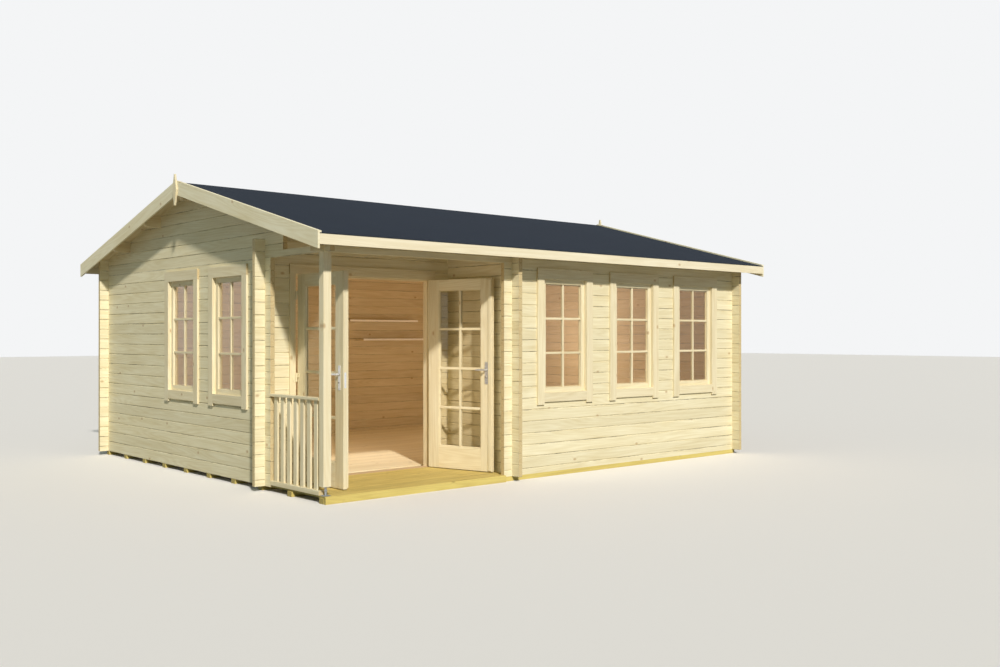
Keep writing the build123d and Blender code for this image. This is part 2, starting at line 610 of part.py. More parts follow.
def window_frame(face):
    """Lining through the wall, casing boards outside and a casing ring inside, seen from outside."""
    half, tall = WINDOW_WIDTH / 2, WINDOW_HEIGHT / 2
    with BuildSketch(face) as section:
        with Locations((0, tall)):
            Rectangle(WINDOW_WIDTH + 2 * CASING, CASING_HEAD, align=(Align.CENTER, Align.MIN))
        with Locations((half, tall), (-half - CASING, tall)):
            Rectangle(CASING, WINDOW_HEIGHT + CASING + CASING_HORN, align=(Align.MIN, Align.MAX))
        with Locations((0, -tall)):
            Rectangle(WINDOW_WIDTH, CASING, align=(Align.CENTER, Align.MAX))
    extrude(section.sketch, amount=CASING_THICKNESS)
    with BuildSketch(face) as section:
        Rectangle(WINDOW_WIDTH + 2 * LINING, WINDOW_HEIGHT + 2 * LINING)
        Rectangle(WINDOW_WIDTH, WINDOW_HEIGHT, mode=Mode.SUBTRACT)
    extrude(section.sketch, amount=-LINING_DEPTH)
    with BuildSketch(face.offset(-LOG)) as section:
        Rectangle(WINDOW_WIDTH + 2 * INSIDE_CASING, WINDOW_HEIGHT + 2 * INSIDE_CASING)
        Rectangle(WINDOW_WIDTH, WINDOW_HEIGHT, mode=Mode.SUBTRACT)
    extrude(section.sketch, amount=LOG - LINING_DEPTH)


def window_sash(face):
    """Sash ring with a groove for the pane."""
    with BuildSketch(face.offset(-SASH_SETBACK)) as section:
        Rectangle(WINDOW_WIDTH, WINDOW_HEIGHT)
        Rectangle(WINDOW_WIDTH - 2 * SASH, WINDOW_HEIGHT - 2 * SASH, mode=Mode.SUBTRACT)
    extrude(section.sketch, amount=-SASH_DEPTH)
    window_pane(face, Mode.SUBTRACT)


def window_pane(face, mode=Mode.ADD):
    """Pane that runs into the groove of its sash."""
    grown = 2 * GLASS_GROOVE - 2 * SASH
    with BuildSketch(face.offset(-SASH_SETBACK - SASH_DEPTH / 2 + GLASS / 2)) as section:
        Rectangle(WINDOW_WIDTH + grown, WINDOW_HEIGHT + grown)
    extrude(section.sketch, amount=-GLASS, mode=mode)


for name, planes in (("front", front_window_planes()), ("gable", gable_window_planes())):
    with BuildPart() as window_frames:
        for plane in planes:
            window_frame(plane)
    save(window_frames, f"{name}_window_frames")

with BuildPart() as window_sashes:
    for plane in front_window_planes() + gable_window_planes():
        window_sash(plane)
save(window_sashes, "window_sashes")

with BuildPart() as window_panes:
    for plane in front_window_planes() + gable_window_planes():
        window_pane(plane)
save(window_panes, "window_panes")

# Door leaves, drawn standing open; a leaf's plane has its origin on the hinge pins
PIN_Y = CASING_FACE - HINGE_STANDOFF
LEAF_WIDTH = (DOORWAY_WIDTH - 2 * LEAF_GAP - MEETING_GAP) / 2
LEAF_BOTTOM = THRESHOLD_TOP + LEAF_GAP
LEAF_TOP = DOORWAY_HEIGHT - LEAF_GAP
LEAF_HEIGHT = LEAF_TOP - LEAF_BOTTOM
HINGE_HEIGHTS = (LEAF_BOTTOM + HINGE_INSET, (LEAF_BOTTOM + LEAF_TOP) / 2, LEAF_TOP - HINGE_INSET)


def leaf_plane(pin_x, angle):
    """Plane of a leaf turned by angle about its pins, facing out of the doorway when closed."""
    turn = radians(angle)
    return Plane(origin=(pin_x, PIN_Y, 0), x_dir=(cos(turn), sin(turn), 0),
                 z_dir=(sin(turn), -cos(turn), 0))


def leaf_frame(plane, way):
    """Stiles and rails of a leaf, with a groove for the pane and a bore for the spindle."""
    centre = way * (LEAF_GAP + LEAF_WIDTH / 2)
    with BuildSketch(plane.offset(-HINGE_STANDOFF)) as section:
        with Locations((centre, LEAF_BOTTOM)):
            Rectangle(LEAF_WIDTH, LEAF_HEIGHT, align=(Align.CENTER, Align.MIN))
        with Locations((centre, LEAF_BOTTOM + BOTTOM_RAIL)):
            Rectangle(LEAF_WIDTH - 2 * STILE, LEAF_HEIGHT - BOTTOM_RAIL - TOP_RAIL,
                      align=(Align.CENTER, Align.MIN), mode=Mode.SUBTRACT)
    extrude(section.sketch, amount=-LEAF_THICKNESS)
    leaf_pane(plane, way, Mode.SUBTRACT)
    with BuildSketch(plane) as section:
        with Locations((way * (LEAF_GAP + LEAF_WIDTH - HANDLE_INSET), HANDLE_HEIGHT)):
            Circle(SPINDLE_RADIUS + SPINDLE_CLEARANCE)
    extrude(section.sketch, amount=-HINGE_STANDOFF - LEAF_THICKNESS, mode=Mode.SUBTRACT)


def leaf_pane(plane, way, mode=Mode.ADD):
    """Pane of a leaf, set into the groove of its stiles and rails."""
    centre = way * (LEAF_GAP + LEAF_WIDTH / 2)
    pane_width = LEAF_WIDTH - 2 * STILE + 2 * GLASS_GROOVE
    pane_height = LEAF_HEIGHT - BOTTOM_RAIL - TOP_RAIL + 2 * GLASS_GROOVE
    with BuildSketch(plane.offset(-HINGE_STANDOFF - LEAF_THICKNESS / 2 + GLASS / 2)) as section:
        with Locations((centre, LEAF_BOTTOM + BOTTOM_RAIL - GLASS_GROOVE)):
            Rectangle(pane_width, pane_height, align=(Align.CENTER, Align.MIN))
    extrude(section.sketch, amount=-GLASS, mode=mode)


def leaf_fittings(plane, way):
    """Upper knuckles with their plates, and a back plate for the lever on each face."""
    with BuildSketch(plane.offset(-HINGE_STANDOFF)) as section:
        for height in HINGE_HEIGHTS:
            with Locations((way * (LEAF_GAP + HINGE_PLATE_WIDTH) / 2, height)):
                Rectangle(LEAF_GAP + HINGE_PLATE_WIDTH, KNUCKLE_HEIGHT, align=(Align.CENTER, Align.MIN))
    extrude(section.sketch, amount=HINGE_PLATE)
    for height in HINGE_HEIGHTS:
        with BuildSketch(Plane.XY.offset(height)) as section:
            with Locations((plane.origin.X, plane.origin.Y)):
                Circle(KNUCKLE_RADIUS)
        extrude(section.sketch, amount=KNUCKLE_HEIGHT)
        with BuildSketch(Plane.XY.offset(height)) as section:
            with Locations((plane.origin.X, plane.origin.Y)):
                Circle(PIN_RADIUS + PIN_CLEARANCE)
        extrude(section.sketch, amount=KNUCKLE_HEIGHT, mode=Mode.SUBTRACT)
    handle_place = (way * (LEAF_GAP + LEAF_WIDTH - HANDLE_INSET), HANDLE_HEIGHT)
    plate_place = (handle_place[0], HANDLE_HEIGHT - HANDLE_BELOW)
    for start, amount in ((-HINGE_STANDOFF, HANDLE_PLATE),
                          (-HINGE_STANDOFF - LEAF_THICKNESS, -HANDLE_PLATE)):
        with BuildSketch(plane.offset(start)) as section:
            with Locations(plate_place):
                RectangleRounded(HANDLE_PLATE_WIDTH, HANDLE_PLATE_HEIGHT, 6)
            with Locations(handle_place):
                Circle(SPINDLE_RADIUS + SPINDLE_CLEARANCE, mode=Mode.SUBTRACT)
        extrude(section.sketch, amount=amount)


def leaf_lever(plane, way):
    """Spindle through the leaf with a lever at each end, pointing back to the hinges."""
    place = (way * (LEAF_GAP + LEAF_WIDTH - HANDLE_INSET), HANDLE_HEIGHT)
    outer = -HINGE_STANDOFF + HANDLE_PLATE + LEVER_REACH
    inner = -HINGE_STANDOFF - LEAF_THICKNESS - HANDLE_PLATE - LEVER_REACH
    with BuildSketch(plane.offset(inner + LEVER_RADIUS)) as section:
        with Locations(place):
            Circle(SPINDLE_RADIUS)
    extrude(section.sketch, amount=outer - inner - 2 * LEVER_RADIUS)
    for face, out in ((-HINGE_STANDOFF + HANDLE_PLATE, 1),
                      (-HINGE_STANDOFF - LEAF_THICKNESS - HANDLE_PLATE, -1)):
        with BuildSketch(plane.offset(face + out * LEVER_GAP)) as section:
            with Locations(place):
                Circle(LEVER_RADIUS + 2)
        extrude(section.sketch, amount=out * (LEVER_REACH - 2 * LEVER_RADIUS))
        with BuildSketch(plane.offset(face + out * (LEVER_REACH - 2 * LEVER_RADIUS))) as section:
            with Locations((place[0] - way * (LEVER_LENGTH / 2 - LEVER_RADIUS), HANDLE_HEIGHT)):
                SlotOverall(LEVER_LENGTH, 2 * LEVER_RADIUS)
        extrude(section.sketch, amount=out * 2 * LEVER_RADIUS)


for name, pin_x, angle, way in (("left", DOORWAY_LEFT, -LEFT_LEAF_OPEN, 1),
                                ("right", DOORWAY_RIGHT, RIGHT_LEAF_OPEN, -1)):
    plane = leaf_plane(pin_x, angle)
    with BuildPart() as door_leaf:
        leaf_frame(plane, way)
    save(door_leaf, f"{name}_door_leaf")

    with BuildPart() as door_pane:
        leaf_pane(plane, way)
    save(door_pane, f"{name}_door_pane")

    with BuildPart() as door_fittings:
        leaf_fittings(plane, way)
    save(door_fittings, f"{name}_door_fittings")

    with BuildPart() as door_lever:
        leaf_lever(plane, way)
    save(door_lever, f"{name}_door_lever")

# Hinge halves on the frame: lower knuckles with the pins that the leaves hang on
with BuildPart() as hinge_pins:
    for pin_x, out in ((DOORWAY_LEFT, -1), (DOORWAY_RIGHT, 1)):
        for height in HINGE_HEIGHTS:
            with Locations((pin_x, PIN_Y, height - KNUCKLE_GAP)):
                Cylinder(KNUCKLE_RADIUS, KNUCKLE_HEIGHT, align=(Align.CENTER, Align.CENTER, Align.MAX))
            with Locations((pin_x, PIN_Y, height - KNUCKLE_GAP)):
                Cylinder(PIN_RADIUS, KNUCKLE_HEIGHT, align=(Align.CENTER, Align.CENTER, Align.MIN))
            with Locations((pin_x + out * HINGE_PLATE_WIDTH / 2, CASING_FACE, height - KNUCKLE_GAP)):
                Box(HINGE_PLATE_WIDTH, HINGE_PLATE, KNUCKLE_HEIGHT,
                    align=(Align.CENTER, Align.MAX, Align.MAX))
save(hinge_pins, "hinge_pins")

# Two shelves on the back wall, which show through the doorway
with BuildPart() as wall_shelves:
    for along, height in (UPPER_SHELF, LOWER_SHELF):
        with Locations((LEFT + along, BACK - LOG, height)):
            Box(SHELF_LENGTH, SHELF_DEPTH, SHELF_THICKNESS, align=(Align.CENTER, Align.MAX, Align.MAX))
save(wall_shelves, "wall_shelves")
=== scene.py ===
import json
import math
import random

import bmesh
import bpy
from mathutils import Matrix, Vector


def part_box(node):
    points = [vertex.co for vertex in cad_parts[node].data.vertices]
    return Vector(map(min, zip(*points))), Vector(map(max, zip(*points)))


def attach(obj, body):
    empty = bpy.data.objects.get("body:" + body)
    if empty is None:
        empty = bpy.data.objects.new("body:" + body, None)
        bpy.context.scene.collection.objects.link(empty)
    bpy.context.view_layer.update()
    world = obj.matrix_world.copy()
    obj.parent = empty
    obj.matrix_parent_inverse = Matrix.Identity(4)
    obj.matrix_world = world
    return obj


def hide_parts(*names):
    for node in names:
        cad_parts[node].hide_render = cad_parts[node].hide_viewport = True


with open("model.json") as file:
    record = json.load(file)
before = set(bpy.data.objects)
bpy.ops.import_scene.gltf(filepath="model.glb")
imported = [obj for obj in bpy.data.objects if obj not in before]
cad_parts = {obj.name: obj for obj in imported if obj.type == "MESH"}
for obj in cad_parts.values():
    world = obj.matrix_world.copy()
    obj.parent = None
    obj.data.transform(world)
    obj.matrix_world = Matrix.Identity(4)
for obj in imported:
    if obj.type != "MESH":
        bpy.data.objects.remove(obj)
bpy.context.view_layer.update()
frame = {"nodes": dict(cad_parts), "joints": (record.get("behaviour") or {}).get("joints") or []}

random.seed(12)
nodes = frame["nodes"]

# Log walls
# Planed spruce logs, 44 mm thick and 114 mm high, stacked dry with a bevel along every joint.
# They cross at the corners and their sawn ends run on past, so end grain shows there.
COURSE = 0.114
LOG_BASE = 0.045
LOG = 0.044
ROOF_ANGLE = math.radians(14.68)
LOGS_ALONG_X = ("front_wall", "front_beam", "back_wall", "door_wall_left", "door_wall_right",
                "door_wall_head")
LOGS_ALONG_Y = ("left_gable_wall", "left_gable_top", "right_gable_wall", "right_gable_top", "porch_wall")

# The room's faces have a deeper tone, which reaches 4 mm into the logs so that it covers each face.
INDOOR_WOOD = (0.85, 0.77, 0.70)
INDOOR_REACH = 0.004
# On the room's faces the painted joint shade is 75 % weaker.
INDOOR_JOINT_FADE = 0.75
ROOM_HALF = (-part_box("left_gable_wall")[0].x - LOG + INDOOR_REACH,
             -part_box("front_wall")[0].y - LOG + INDOOR_REACH)
ROOM_CORNER = (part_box("porch_wall")[1].x - INDOOR_REACH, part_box("door_wall_left")[1].y - INDOOR_REACH)

# The figure of spruce, in metres along and across the grain: cells of 165 x 105 mm, a few of which hold a
# knot, rings that drift over 140 mm, clouds of 125 mm, and streaks 30 mm wide, which is coarser than the real
# ones so that they show. Bend and heart say where a knot's reach starts and ends in its cell, and how strong
# it is.
KNOT_CELL = (0.165, 0.105)
KNOT_BEND = (0.05, 0.42, 0.05)
KNOT_HEART = (0.04, 0.19, 0.62)
RING_DRIFT = (2.2, 0.14)
RING_TURNS = 110.0
RING_SHARE = 0.26
STREAK = (0.55, 0.030)
STREAK_SHARE = 1.25
CLOUD = (0.75, 0.125)
CLOUD_SHARE = 0.90
FIGURE_LEVEL = -0.78
END_RINGS = 0.30
RING_RELIEF = 0.4
GRAIN_RELIEF = 0.0006
GLOSS_SPREAD = 0.16
TINT_BELOW = 0.6

# Each log or board takes its grain from another place, in metres, and its tint from its number. The numbers
# of the boards start again after 40.
LOG_SHIFT = 7.3
BOARD_SHIFT = (10, 0.37, 0.21)
BOARD_NUMBERS = 40
PIECE_PITCH = 1 / 3
END_FACE = 0.9

# Painted shade in each joint between logs: dark for 1.4 mm to each side and gone at 5.6 mm, while the gap
# closes and opens about every 620 mm.
PAINTED_JOINT_SHADE = "#57462C"
JOINT_LINE = (0.0014, 0.0056)
JOINT_RUN = 0.62
JOINT_OPENING = (0.46, 0.62)
JOINT_SHADE = (0.06, 0.88)


def linear(colour):
    """An sRGB hex colour as linear red, green, blue and alpha."""
    parts = [int(colour[i:i + 2], 16) / 255 for i in (1, 3, 5)]
    return [c / 12.92 if c <= 0.04045 else ((c + 0.055) / 1.055) ** 2.4 for c in parts] + [1.0]


def add(tree, kind, inputs, **settings):
    """A node of that kind with its settings; each input takes a value or a link from another node."""
    node = tree.nodes.new("ShaderNode" + kind)
    for key, value in settings.items():
        setattr(node, key, value)
    for key, value in inputs.items():
        if isinstance(value, bpy.types.Node):
            value = value.outputs[0]
        if isinstance(value, bpy.types.NodeSocket):
            tree.links.new(value, node.inputs[key])
        else:
            node.inputs[key].default_value = value
    return node


def new_material(name):
    """An empty material with its tree and its one shader."""
    material = bpy.data.materials.new(name)
    material.use_nodes = True
    return material, material.node_tree, material.node_tree.nodes["Principled BSDF"]


def grain_place(tree, along):
    """Where a point lies in its log or board: metres along the grain, across it and into it.

    Also gives the number of the log or board, and where a sawn end shows.
    """
    if along == "board":
        place = add(tree, "Attribute", {}, attribute_name="grain").outputs["Vector"]
        first = add(tree, "SeparateXYZ", {0: place})
        tens = add(tree, "Math", {0: first, 1: BOARD_SHIFT[0]}, operation="DIVIDE")
        return place, add(tree, "Math", {0: tens}, operation="FLOOR"), None
    own = add(tree, "TexCoord", {}).outputs
    x, y, z = add(tree, "SeparateXYZ", {0: own["Object"]}).outputs
    if along == "slope":
        run = add(tree, "Math", {0: y}, operation="ABSOLUTE")
        place = add(tree, "CombineXYZ", {0: run, 1: z, 2: x})
        place = add(tree, "Mapping", {"Vector": place, "Rotation": (0, 0, ROOF_ANGLE)})
        side = add(tree, "Math", {0: y, 1: 0.0}, operation="GREATER_THAN")
        moved = add(tree, "CombineXYZ", {0: side, 1: side, 2: side})
        return add(tree, "VectorMath", {0: place, 1: moved}, operation="ADD").outputs[0], side, None
    faces = add(tree, "SeparateXYZ", {0: own["Normal"]}).outputs
    first, second, third, end = {"x": (x, z, y, faces[0]), "y": (y, z, x, faces[1]),
                                 "z": (z, x, y, faces[2])}[along[-1]]
    if along.startswith("log"):
        index = log_level(tree, z, 0.5 if along == "log_x" else 0.0)
    else:
        index = add(tree, "Math", {0: third, 1: 1 / PIECE_PITCH}, operation="MULTIPLY")
    index = add(tree, "Math", {0: index}, operation="FLOOR")
    moved = add(tree, "Math", {0: index, 1: LOG_SHIFT, 2: first}, operation="MULTIPLY_ADD")
    facing_end = add(tree, "Math", {0: end}, operation="ABSOLUTE")
    ends = add(tree, "Math", {0: facing_end, 1: END_FACE}, operation="GREATER_THAN")
    return add(tree, "CombineXYZ", {0: moved, 1: second, 2: third}).outputs[0], index, ends


def log_level(tree, z, shift):
    """Height counted in courses; walls along the front start half a log lower than the gables."""
    return add(tree, "Math", {0: z, 1: 1 / COURSE, 2: shift - LOG_BASE / COURSE}, operation="MULTIPLY_ADD")


def pattern_scale(size):
    """Turns the length and width of a wood pattern, in metres, into the scale of its texture."""
    return 1 / size[0], 1 / size[1], 1 / size[1]


def spruce(name, along, pale="#F4ECCE", deep="#DCCDA2", knot="#B48F5C", end="#D4C296", rough=0.62, knots=0.04,
           vary=0.09):
    """Planed spruce: growth rings as long arcs that bend round small brown knots, and fine streaks."""
    material, tree, shader = new_material(name)
    place, index, ends = grain_place(tree, along)
    cells = add(tree, "Mapping", {"Vector": place, "Scale": (1 / KNOT_CELL[0], 1 / KNOT_CELL[1], 1.0)})
    cells = add(tree, "TexVoronoi", {"Vector": cells, "Scale": 1.0}, voronoi_dimensions="2D").outputs
    chance = add(tree, "SeparateColor", {0: cells["Color"]})
    knotty = add(tree, "Math", {0: chance, 1: knots}, operation="LESS_THAN")
    around = add(tree, "MapRange",
                 {0: cells["Distance"], 1: KNOT_BEND[0], 2: KNOT_BEND[1], 3: KNOT_BEND[2], 4: 0.0},
                 interpolation_type="SMOOTHSTEP")
    around = add(tree, "Math", {0: around, 1: knotty}, operation="MULTIPLY")
    heart = add(tree, "MapRange",
                {0: cells["Distance"], 1: KNOT_HEART[0], 2: KNOT_HEART[1], 3: KNOT_HEART[2], 4: 0.0},
                interpolation_type="SMOOTHSTEP")
    heart = add(tree, "Math", {0: heart, 1: knotty}, operation="MULTIPLY")
    arcs = add(tree, "Mapping", {"Vector": place, "Scale": pattern_scale(RING_DRIFT)})
    arcs = add(tree, "TexNoise", {"Vector": arcs, "Scale": 1.0, "Detail": 1.0, "Roughness": 0.4})
    arcs = add(tree, "Math", {0: arcs, 1: around}, operation="ADD")
    turns = add(tree, "Math", {0: arcs, 1: RING_TURNS}, operation="MULTIPLY")
    rings = add(tree, "Math", {0: turns}, operation="SINE")
    rings = add(tree, "MapRange", {0: rings, 1: -1.0, 2: 1.0})
    streaks = add(tree, "Mapping", {"Vector": place, "Scale": pattern_scale(STREAK)})
    streaks = add(tree, "TexNoise", {"Vector": streaks, "Scale": 1.0, "Detail": 4.0, "Roughness": 0.7})
    clouds = add(tree, "Mapping", {"Vector": place, "Scale": pattern_scale(CLOUD)})
    clouds = add(tree, "TexNoise", {"Vector": clouds, "Scale": 1.0, "Detail": 2.0})
    figure = add(tree, "Math", {0: rings, 1: RING_SHARE, 2: FIGURE_LEVEL}, operation="MULTIPLY_ADD")
    figure = add(tree, "Math", {0: streaks, 1: STREAK_SHARE, 2: figure}, operation="MULTIPLY_ADD")
    figure = add(tree, "Math", {0: clouds, 1: CLOUD_SHARE, 2: figure}, operation="MULTIPLY_ADD")
    wood = add(tree, "Mix", {0: figure, 6: linear(pale), 7: linear(deep)}, data_type="RGBA").outputs[2]
    luck = add(tree, "TexWhiteNoise", {"W": index}, noise_dimensions="1D")
    tint = add(tree, "Math", {0: luck, 1: vary, 2: 1.0 - TINT_BELOW * vary}, operation="MULTIPLY_ADD")
    wood = add(tree, "VectorMath", {0: wood, "Scale": tint.outputs[0]}, operation="SCALE")
    wood = add(tree, "Mix", {0: heart, 6: wood, 7: linear(knot)}, data_type="RGBA").outputs[2]
    if ends:
        worn = add(tree, "Math", {0: rings, 1: END_RINGS}, operation="MULTIPLY")
        sawn = add(tree, "Mix", {0: worn, 6: linear(end), 7: linear(knot)}, data_type="RGBA").outputs[2]
        wood = add(tree, "Mix", {0: ends, 6: wood, 7: sawn}, data_type="RGBA").outputs[2]
    if along.startswith("log"):
        room = indoors(tree)
        unpainted = add(tree, "VectorMath", {0: wood, 1: INDOOR_WOOD}, operation="MULTIPLY")
        wood = add(tree, "Mix", {0: room, 6: wood, 7: unpainted}, data_type="RGBA").outputs[2]
        # Painted shade in the log joints, weaker on the room's faces.
        faint = add(tree, "Math", {0: room, 1: -INDOOR_JOINT_FADE, 2: 1.0}, operation="MULTIPLY_ADD")
        joint = add(tree, "Math", {0: painted_joint_shade(tree, place, along), 1: faint}, operation="MULTIPLY")
        wood = add(tree, "Mix", {0: joint, 6: wood, 7: linear(PAINTED_JOINT_SHADE)}, data_type="RGBA").outputs[2]
    relief = add(tree, "Math", {0: rings, 1: RING_RELIEF, 2: streaks}, operation="MULTIPLY_ADD")
    bump = add(tree, "Bump", {"Strength": 0.35, "Distance": GRAIN_RELIEF, "Height": relief})
    gloss = add(tree, "Math", {0: streaks, 1: GLOSS_SPREAD, 2: rough - GLOSS_SPREAD / 2},
                operation="MULTIPLY_ADD")
    tree.links.new(wood, shader.inputs["Base Color"])
    tree.links.new(gloss.outputs[0], shader.inputs["Roughness"])
    tree.links.new(bump.outputs[0], shader.inputs["Normal"])
    shader.inputs["IOR"].default_value = 1.45
    return material


def indoors(tree):
    """One on the faces that look into the room, which lies like an L round the porch."""
    x, y = add(tree, "SeparateXYZ", {0: add(tree, "TexCoord", {}).outputs["Object"]}).outputs[:2]
    across = add(tree, "Math", {0: add(tree, "Math", {0: x}, operation="ABSOLUTE"), 1: ROOM_HALF[0]},
                 operation="LESS_THAN")
    through = add(tree, "Math", {0: add(tree, "Math", {0: y}, operation="ABSOLUTE"), 1: ROOM_HALF[1]},
                  operation="LESS_THAN")
    past_x = add(tree, "Math", {0: x, 1: ROOM_CORNER[0]}, operation="GREATER_THAN")
    past_y = add(tree, "Math", {0: y, 1: ROOM_CORNER[1]}, operation="GREATER_THAN")
    past = add(tree, "Math", {0: past_x, 1: past_y}, operation="MAXIMUM")
    inside = add(tree, "Math", {0: across, 1: through}, operation="MULTIPLY")
    return add(tree, "Math", {0: inside, 1: past}, operation="MULTIPLY")


def painted_joint_shade(tree, place, along):
    """Painted shade: dark lines where two logs meet, which come and go as the gap closes and opens along the
    wall.
    """
    z = add(tree, "SeparateXYZ", {0: add(tree, "TexCoord", {}).outputs["Object"]}).outputs[2]
    level = log_level(tree, z, 0.5 if along == "log_x" else 0.0)
    away = add(tree, "Math", {0: level, 1: 0.5}, operation="PINGPONG")
    line = add(tree, "MapRange",
               {0: away, 1: JOINT_LINE[0] / COURSE, 2: JOINT_LINE[1] / COURSE, 3: 1.0, 4: 0.0})
    gaps = add(tree, "Mapping", {"Vector": place, "Scale": (1 / JOINT_RUN, 1.0, 1.0)})
    gaps = add(tree, "TexNoise", {"Vector": gaps, "Scale": 1.0, "Detail": 5.0, "Roughness": 0.8})
    gaps = add(tree, "MapRange",
               {0: gaps, 1: JOINT_OPENING[0], 2: JOINT_OPENING[1], 3: JOINT_SHADE[0], 4: JOINT_SHADE[1]})
    return add(tree, "Math", {0: line, 1: gaps}, operation="MULTIPLY")


def finish_node(name, material):
    """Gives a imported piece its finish."""
    slots = nodes[name].data.materials
    slots.clear()
    slots.append(material)


# Planed logs give a pale cream face, nearly matt, with a faint long figure and few knots. Their sawn ends
# are darker, as open pores swallow light.
logs_x = spruce("planed_spruce_logs_along_front", "log_x")
logs_y = spruce("planed_spruce_logs_along_gable", "log_y")
for name in LOGS_ALONG_X:
    finish_node(name, logs_x)
for name in LOGS_ALONG_Y:
    finish_node(name, logs_y)

# Windows
# Casing boards planed square with eased edges, butted under the head board, over a lining through the logs.
# The sash is a frame of stiles and rails, with bars on both faces of one pane: two lights wide, three high.
WINDOW = (0.600, 1.128)
CASING = 0.092
CASING_HEAD = 0.105
CASING_HORN = 0.026
CASING_THICKNESS = 0.020
LINING = 0.030
LINING_DEPTH = 0.060
INSIDE_CASING = 0.075
SASH = 0.048
SASH_FACES = (0.015, 0.057)
WINDOW_PANE = 0.036
PANE = 0.004
BAR = 0.022
BAR_DEPTH = 0.012
CROSS_BAR_BACK = 0.0006
BEAD = 0.009
WINDOW_LIGHTS = (2, 3)
SLIM_EASE = 0.003
# An edge is eased by 0.3 of the board's thinnest side at most, and the grain slides by up to 5 m.
MOST_EASE = 0.3
GRAIN_SLIDE = 5
half_w, half_h = WINDOW[0] / 2, WINDOW[1] / 2


def eased_board(low, high, along, index, ease):
    """A square-sawn board with eased edges and its own place along the grain, as a bmesh."""
    low, high = Vector(low), Vector(high)
    size = high - low
    board = bmesh.new()
    bmesh.ops.create_cube(board, size=1.0)
    for corner in board.verts:
        corner.co = Vector([low[i] + (corner.co[i] + 0.5) * size[i] for i in range(3)])
    ease = min(ease, min(size) * MOST_EASE)
    bmesh.ops.bevel(board, geom=list(board.edges), offset=ease, segments=2, profile=0.5, affect="EDGES")
    first = "xyz".index(along)
    wide, deep = sorted((i for i in range(3) if i != first), key=lambda i: -size[i])
    grain = board.verts.layers.float_vector.new("grain")
    slide = random.random() * GRAIN_SLIDE
    for corner in board.verts:
        corner[grain] = (BOARD_SHIFT[0] * index + slide + corner.co[first] - low[first],
                         corner.co[wide] - low[wide] + index * BOARD_SHIFT[1],
                         corner.co[deep] - low[deep] + index * BOARD_SHIFT[2])
    board.normal_update()
    for face in board.faces:
        face.material_index = int(abs(face.normal[first]) > END_FACE)
        face.smooth = False
    return board


def make_boards(name, sticks, materials, body, replaced=(), ease=0.0015, group=1):
    """One piece of several boards, each given by low corner, high corner, grain axis and place.

    Group says how many sticks in a row are cut from one board, and so have one tint.
    """
    gathered = bmesh.new()
    gathered.verts.layers.float_vector.new("grain")
    for number, (low, high, along, place) in enumerate(sticks):
        board = eased_board(low, high, along, number // group % BOARD_NUMBERS, ease)
        bmesh.ops.transform(board, matrix=place, verts=board.verts)
        part = bpy.data.meshes.new("board")
        board.to_mesh(part)
        board.free()
        gathered.from_mesh(part)
        bpy.data.meshes.remove(part)
    return add_piece(name, gathered, materials, body, replaced)


def add_piece(name, shape, materials, body, replaced=()):
    """Turns a finished bmesh into a piece of the cabin that rides on one body."""
    mesh = bpy.data.meshes.new(name)
    shape.to_mesh(mesh)
    shape.free()
    for material in materials:
        mesh.materials.append(material)
    piece = bpy.data.objects.new(name, mesh)
    bpy.context.scene.collection.objects.link(piece)
    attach(piece, body)
    if replaced:
        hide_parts(*replaced)
    return piece


def facing(origin, right, inward):
    """Places a drawing seen from outside: X to the right, Y inward and Z up."""
    up = Vector((0, 0, 1))
    return Matrix.Translation(origin) @ Matrix((right, inward, up)).transposed().to_4x4()


# Joinery spruce is planed finer than the logs, so its cream is cleaner. Sawn ends are darker and dull.
casing_wood = spruce("planed_spruce_joinery", "board", pale="#F2E8CA", deep="#DCCBA2", knots=0.05)
sawn_ends = spruce("sawn_spruce_ends", "board", pale="#DCCAA0", deep="#C0A676", knots=0.0, rough=0.8)
left_wall_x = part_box("left_gable_wall")[0].x
front_wall_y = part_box("front_wall")[0].y
half_casing = half_w + CASING
low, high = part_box("front_window_frames")
window_z = high.z - CASING_HEAD - half_h
front_places = [facing((x, front_wall_y, window_z), Vector((1, 0, 0)), Vector((0, 1, 0)))
                for x in (low.x + half_casing, (low.x + high.x) / 2, high.x - half_casing)]
low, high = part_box("gable_window_frames")
gable_places = [facing((left_wall_x, y, window_z), Vector((0, -1, 0)), Vector((1, 0, 0)))
                for y in (low.y + half_casing, high.y - half_casing)]


def window_boards(place):
    """Casing outside, lining through the wall and casing inside."""
    w, h = half_w, half_h
    yield (-w - CASING, -CASING_THICKNESS, h), (w + CASING, 0, h + CASING_HEAD), "x", place
    yield (-w, -CASING_THICKNESS, -h - CASING), (w, 0, -h), "x", place
    for side in (-1, 1):
        edges = sorted((side * w, side * (w + CASING)))
        yield (edges[0], -CASING_THICKNESS, -h - CASING - CASING_HORN), (edges[1], 0, h), "z", place
        edges = sorted((side * w, side * (w + LINING)))
        yield (edges[0], 0, -h - LINING), (edges[1], LINING_DEPTH, h + LINING), "z", place
        edges = sorted((side * (w + LINING), side * (w + INSIDE_CASING)))
        yield (edges[0], LOG, -h - LINING), (edges[1], LINING_DEPTH, h + LINING), "z", place
        edges = sorted((side * h, side * (h + LINING)))
        yield (-w, 0, edges[0]), (w, LINING_DEPTH, edges[1]), "x", place
        edges = sorted((side * (h + LINING), side * (h + INSIDE_CASING)))
        yield (-w - INSIDE_CASING, LOG, edges[0]), (w + INSIDE_CASING, LINING_DEPTH, edges[1]), "x", place


def sash_boards(place):
    """Stiles and rails of a sash."""
    w, h = half_w, half_h
    for side in (-1, 1):
        edges = sorted((side * w, side * (w - SASH)))
        yield (edges[0], SASH_FACES[0], -h), (edges[1], SASH_FACES[1], h), "z", place
        edges = sorted((side * h, side * (h - SASH)))
        yield (-w + SASH, SASH_FACES[0], edges[0]), (w - SASH, SASH_FACES[1], edges[1]), "x", place


